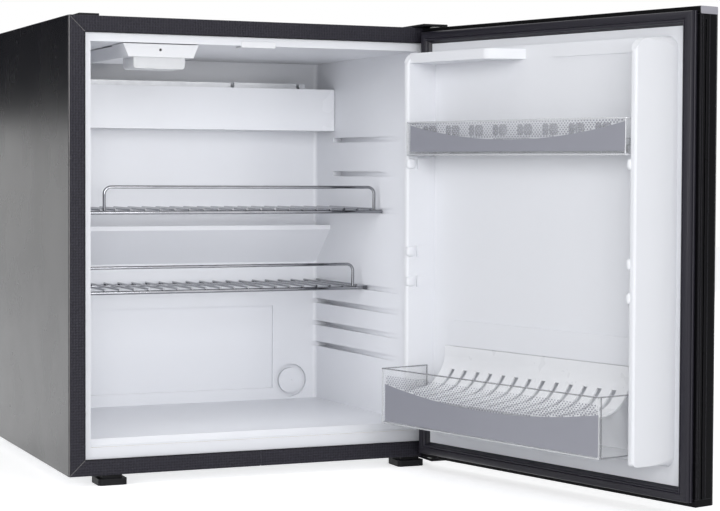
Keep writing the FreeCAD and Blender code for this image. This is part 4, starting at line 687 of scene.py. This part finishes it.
def buildTrimEnd(work):
    sizes = Vector((trimEnd["thick"], trimEnd["back"] - trimEnd["front"], trimEnd["high"] - trimEnd["low"]))
    middle = Vector((trimEnd["x"] - trimEnd["thick"] / 2, (trimEnd["back"] + trimEnd["front"]) / 2,
                     (trimEnd["high"] + trimEnd["low"]) / 2))
    bmesh.ops.create_cube(work, size=1)
    bmesh.ops.scale(work, vec=sizes, verts=work.verts)
    bmesh.ops.translate(work, vec=middle, verts=work.verts)
    runs = []
    for edge in work.edges:
        if abs((edge.verts[0].co - edge.verts[1].co).x) > trimEnd["thick"] / 2:
            runs.append(edge)
    bmesh.ops.bevel(work, geom=runs, offset=trimEnd["round"], segments=trimEnd["steps"], profile=0.5,
                    affect="EDGES")


cap = addPiece("topTrimEnd", buildTrimEnd, "brushedAluminium", "door", doorSwing)
smoothBut(cap, trimEnd["crispDeg"])
print("trim end:", len(cap.data.polygons), "faces")

# Raised lines along the door's free edge
edgeLines = {"x": -0.243, "proud": 0.0005, "half": 0.0006, "low": 0.0230, "high": 0.5590,
             "places": [-0.0128, -0.0158, -0.0262], "crispDeg": 40,
             "bow": [(-1.0, 0.0), (-0.6, 0.8), (0.0, 1.0), (0.6, 0.8), (1.0, 0.0)]}


def buildEdgeLines(work):
    bow = edgeLines["bow"]
    for place in edgeLines["places"]:
        ends = []
        for z in (edgeLines["low"], edgeLines["high"]):
            ring = []
            for side, rise in bow:
                x = edgeLines["x"] - rise * edgeLines["proud"]
                ring.append(work.verts.new((x, place + side * edgeLines["half"], z)))
            ends.append(ring)
        for n in range(len(bow)):
            m = (n + 1) % len(bow)
            work.faces.new((ends[0][n], ends[0][m], ends[1][m], ends[1][n]))
        for ring in ends:
            work.faces.new(ring)


lines = addPiece("doorEdgeLines", buildEdgeLines, "smoothBlackPlastic", "door", doorSwing)
smoothBut(lines, edgeLines["crispDeg"])
print("edge lines:", len(edgeLines["places"]))

# Pale floor, lifted towards white where it is seen and still taking the shadow
studioFloor = {"half": 6.0, "squares": 4, "colour": (0.86, 0.86, 0.87), "shade": (0.84, 0.84, 0.85),
               "mottle": 0.8, "detail": 2.0, "rough": 0.9, "lift": 0.56}


def makeFloor():
    work = bmesh.new()
    bmesh.ops.create_grid(work, x_segments=studioFloor["squares"], y_segments=studioFloor["squares"],
                          size=studioFloor["half"])
    made, tree, shader = startSurface("studioFloorPaint")
    point = addNode(tree, "ShaderNodeTexCoord").outputs["Object"]
    field = noiseField(tree, point, studioFloor["mottle"], studioFloor["detail"])
    tint = blendColours(tree, field, studioFloor["colour"], studioFloor["shade"])
    tree.links.new(tint, shader.inputs["Base Color"])
    shader.inputs["Roughness"].default_value = studioFloor["rough"]
    amount = addNode(tree, "ShaderNodeMath", operation="MULTIPLY")
    amount.inputs[1].default_value = studioFloor["lift"]
    tree.links.new(seenDirectly(tree), amount.inputs[0])
    shader.inputs["Emission Color"].default_value = (1, 1, 1, 1)
    tree.links.new(amount.outputs["Value"], shader.inputs["Emission Strength"])
    floor = linkMesh("studioFloor", work, made)


makeFloor()

# Dark cloth behind the fridge at the left, out of the picture, for the case's side to mirror
darkCloth = {"left": -2.4, "right": -0.2, "low": 0.48, "high": 2.6, "away": 1.9, "folds": 24,
             "foldDeep": 0.02, "foldTurn": 1.7, "colour": (0.014, 0.014, 0.018),
             "shade": (0.020, 0.020, 0.026), "mottle": 0.05, "rough": 0.95, "shine": 0.1}


def makeCloth():
    work = bmesh.new()
    folds = darkCloth["folds"]
    rows = []
    for z in (darkCloth["low"], darkCloth["high"]):
        row = []
        for n in range(folds + 1):
            x = darkCloth["left"] + (darkCloth["right"] - darkCloth["left"]) * n / folds
            y = darkCloth["away"] + darkCloth["foldDeep"] * math.sin(n * darkCloth["foldTurn"])
            row.append(work.verts.new((x, y, z)))
        rows.append(row)
    for n in range(folds):
        work.faces.new((rows[0][n], rows[0][n + 1], rows[1][n + 1], rows[1][n]))
    made, tree, shader = startSurface("darkClothWeave")
    point = addNode(tree, "ShaderNodeTexCoord").outputs["Object"]
    field = noiseField(tree, point, darkCloth["mottle"])
    tint = blendColours(tree, field, darkCloth["colour"], darkCloth["shade"])
    tree.links.new(tint, shader.inputs["Base Color"])
    shader.inputs["Roughness"].default_value = darkCloth["rough"]
    shader.inputs["Specular IOR Level"].default_value = darkCloth["shine"]
    cloth = linkMesh("darkCloth", work, made)
    cloth.visible_camera = False
    cloth.visible_shadow = False


makeCloth()

# Even room light, white where it is seen directly, mirrored or looked at through clear plastic
roomLight = {"colour": (0.96, 0.98, 1.0), "level": 0.38}


def makeRoom():
    world = bpy.data.worlds.new("studioRoom")
    scene.world = world
    world.use_nodes = True
    tree = world.node_tree
    tree.nodes.clear()
    out = tree.nodes.new("ShaderNodeOutputWorld")
    lit = addNode(tree, "ShaderNodeBackground", Color=(*roomLight["colour"], 1), Strength=roomLight["level"])
    white = addNode(tree, "ShaderNodeBackground", Color=(1, 1, 1, 1), Strength=1.0)
    choose = addNode(tree, "ShaderNodeMixShader")
    tree.links.new(seenDirectly(tree), choose.inputs["Fac"])
    tree.links.new(lit.outputs["Background"], choose.inputs[1])
    tree.links.new(white.outputs["Background"], choose.inputs[2])
    tree.links.new(choose.outputs["Shader"], out.inputs["Surface"])


makeRoom()

# Soft boxes: a large one by the camera, one at the left for the door, a low one at the right, one overhead,
# one behind for the cooling unit and a faint one in the mouth of the cabinet, facing in
softBoxes = {
    "cameraBox": {"place": (-0.7, -3.3, 1.0), "aim": (0.0, 0.2, 0.3), "wide": 1.5, "tall": 1.3,
                  "power": 46},
    "leftBox": {"place": (-2.6, -1.2, 1.2), "aim": (0.2, -0.1, 0.3), "wide": 1.4, "tall": 1.4,
                "power": 23},
    "rightGlow": {"place": (0.62, -3.3, 0.56), "aim": (0.0, 0.1, 0.35), "wide": 0.5, "tall": 0.25,
                  "power": 8},
    "topBox": {"place": (0.1, -0.4, 2.4), "aim": (0.1, -0.1, 0.3), "wide": 1.4, "tall": 1.4,
               "power": 14},
    "backBox": {"place": (1.6, 3.2, 1.3), "aim": (0.0, 0.4, 0.3), "wide": 1.4, "tall": 1.4,
                "power": 40, "mirrored": False},
    "insideFill": {"place": (0.0, 0.004, 0.26), "aim": (0.0, 0.4, 0.26), "wide": 0.36, "tall": 0.34,
                   "power": 0.29},
}
for name, look in softBoxes.items():
    light = bpy.data.lights.new(name, "AREA")
    light.shape = "RECTANGLE"
    light.size = look["wide"]
    light.size_y = look["tall"]
    light.energy = look["power"]
    lamp = bpy.data.objects.new(name, light)
    lamp.location = look["place"]
    lamp.visible_camera = False
    lamp.visible_glossy = look.get("mirrored", True)
    facing = Vector(look["aim"]) - Vector(look["place"])
    lamp.rotation_euler = facing.to_track_quat("-Z", "Y").to_euler()
    scene.collection.objects.link(lamp)

# Camera as fitted to the photograph's straight edges
viewpoint = {"place": (-0.8197, -2.3104, 0.3886), "turnDeg": (87.9936, -0.3284, -24.5720), "lens": 97.56,
             "sensor": 36.0, "centre": (432.84, 236.45), "image": (720, 511), "nearest": 0.05}
viewCamera = bpy.data.cameras.new("viewCamera")
viewCamera.sensor_fit = "HORIZONTAL"
viewCamera.sensor_width = viewpoint["sensor"]
viewCamera.lens = viewpoint["lens"]
imageWide, imageTall = viewpoint["image"]
viewCamera.shift_x = (imageWide / 2 - viewpoint["centre"][0]) / imageWide
viewCamera.shift_y = (viewpoint["centre"][1] - imageTall / 2) / imageWide
viewCamera.clip_start = viewpoint["nearest"]
viewHolder = bpy.data.objects.new("viewCamera", viewCamera)
viewHolder.location = viewpoint["place"]
viewHolder.rotation_euler = [math.radians(turn) for turn in viewpoint["turnDeg"]]
scene.collection.objects.link(viewHolder)
scene.camera = viewHolder
print("camera and light ready")

bpy.context.view_layer.update()
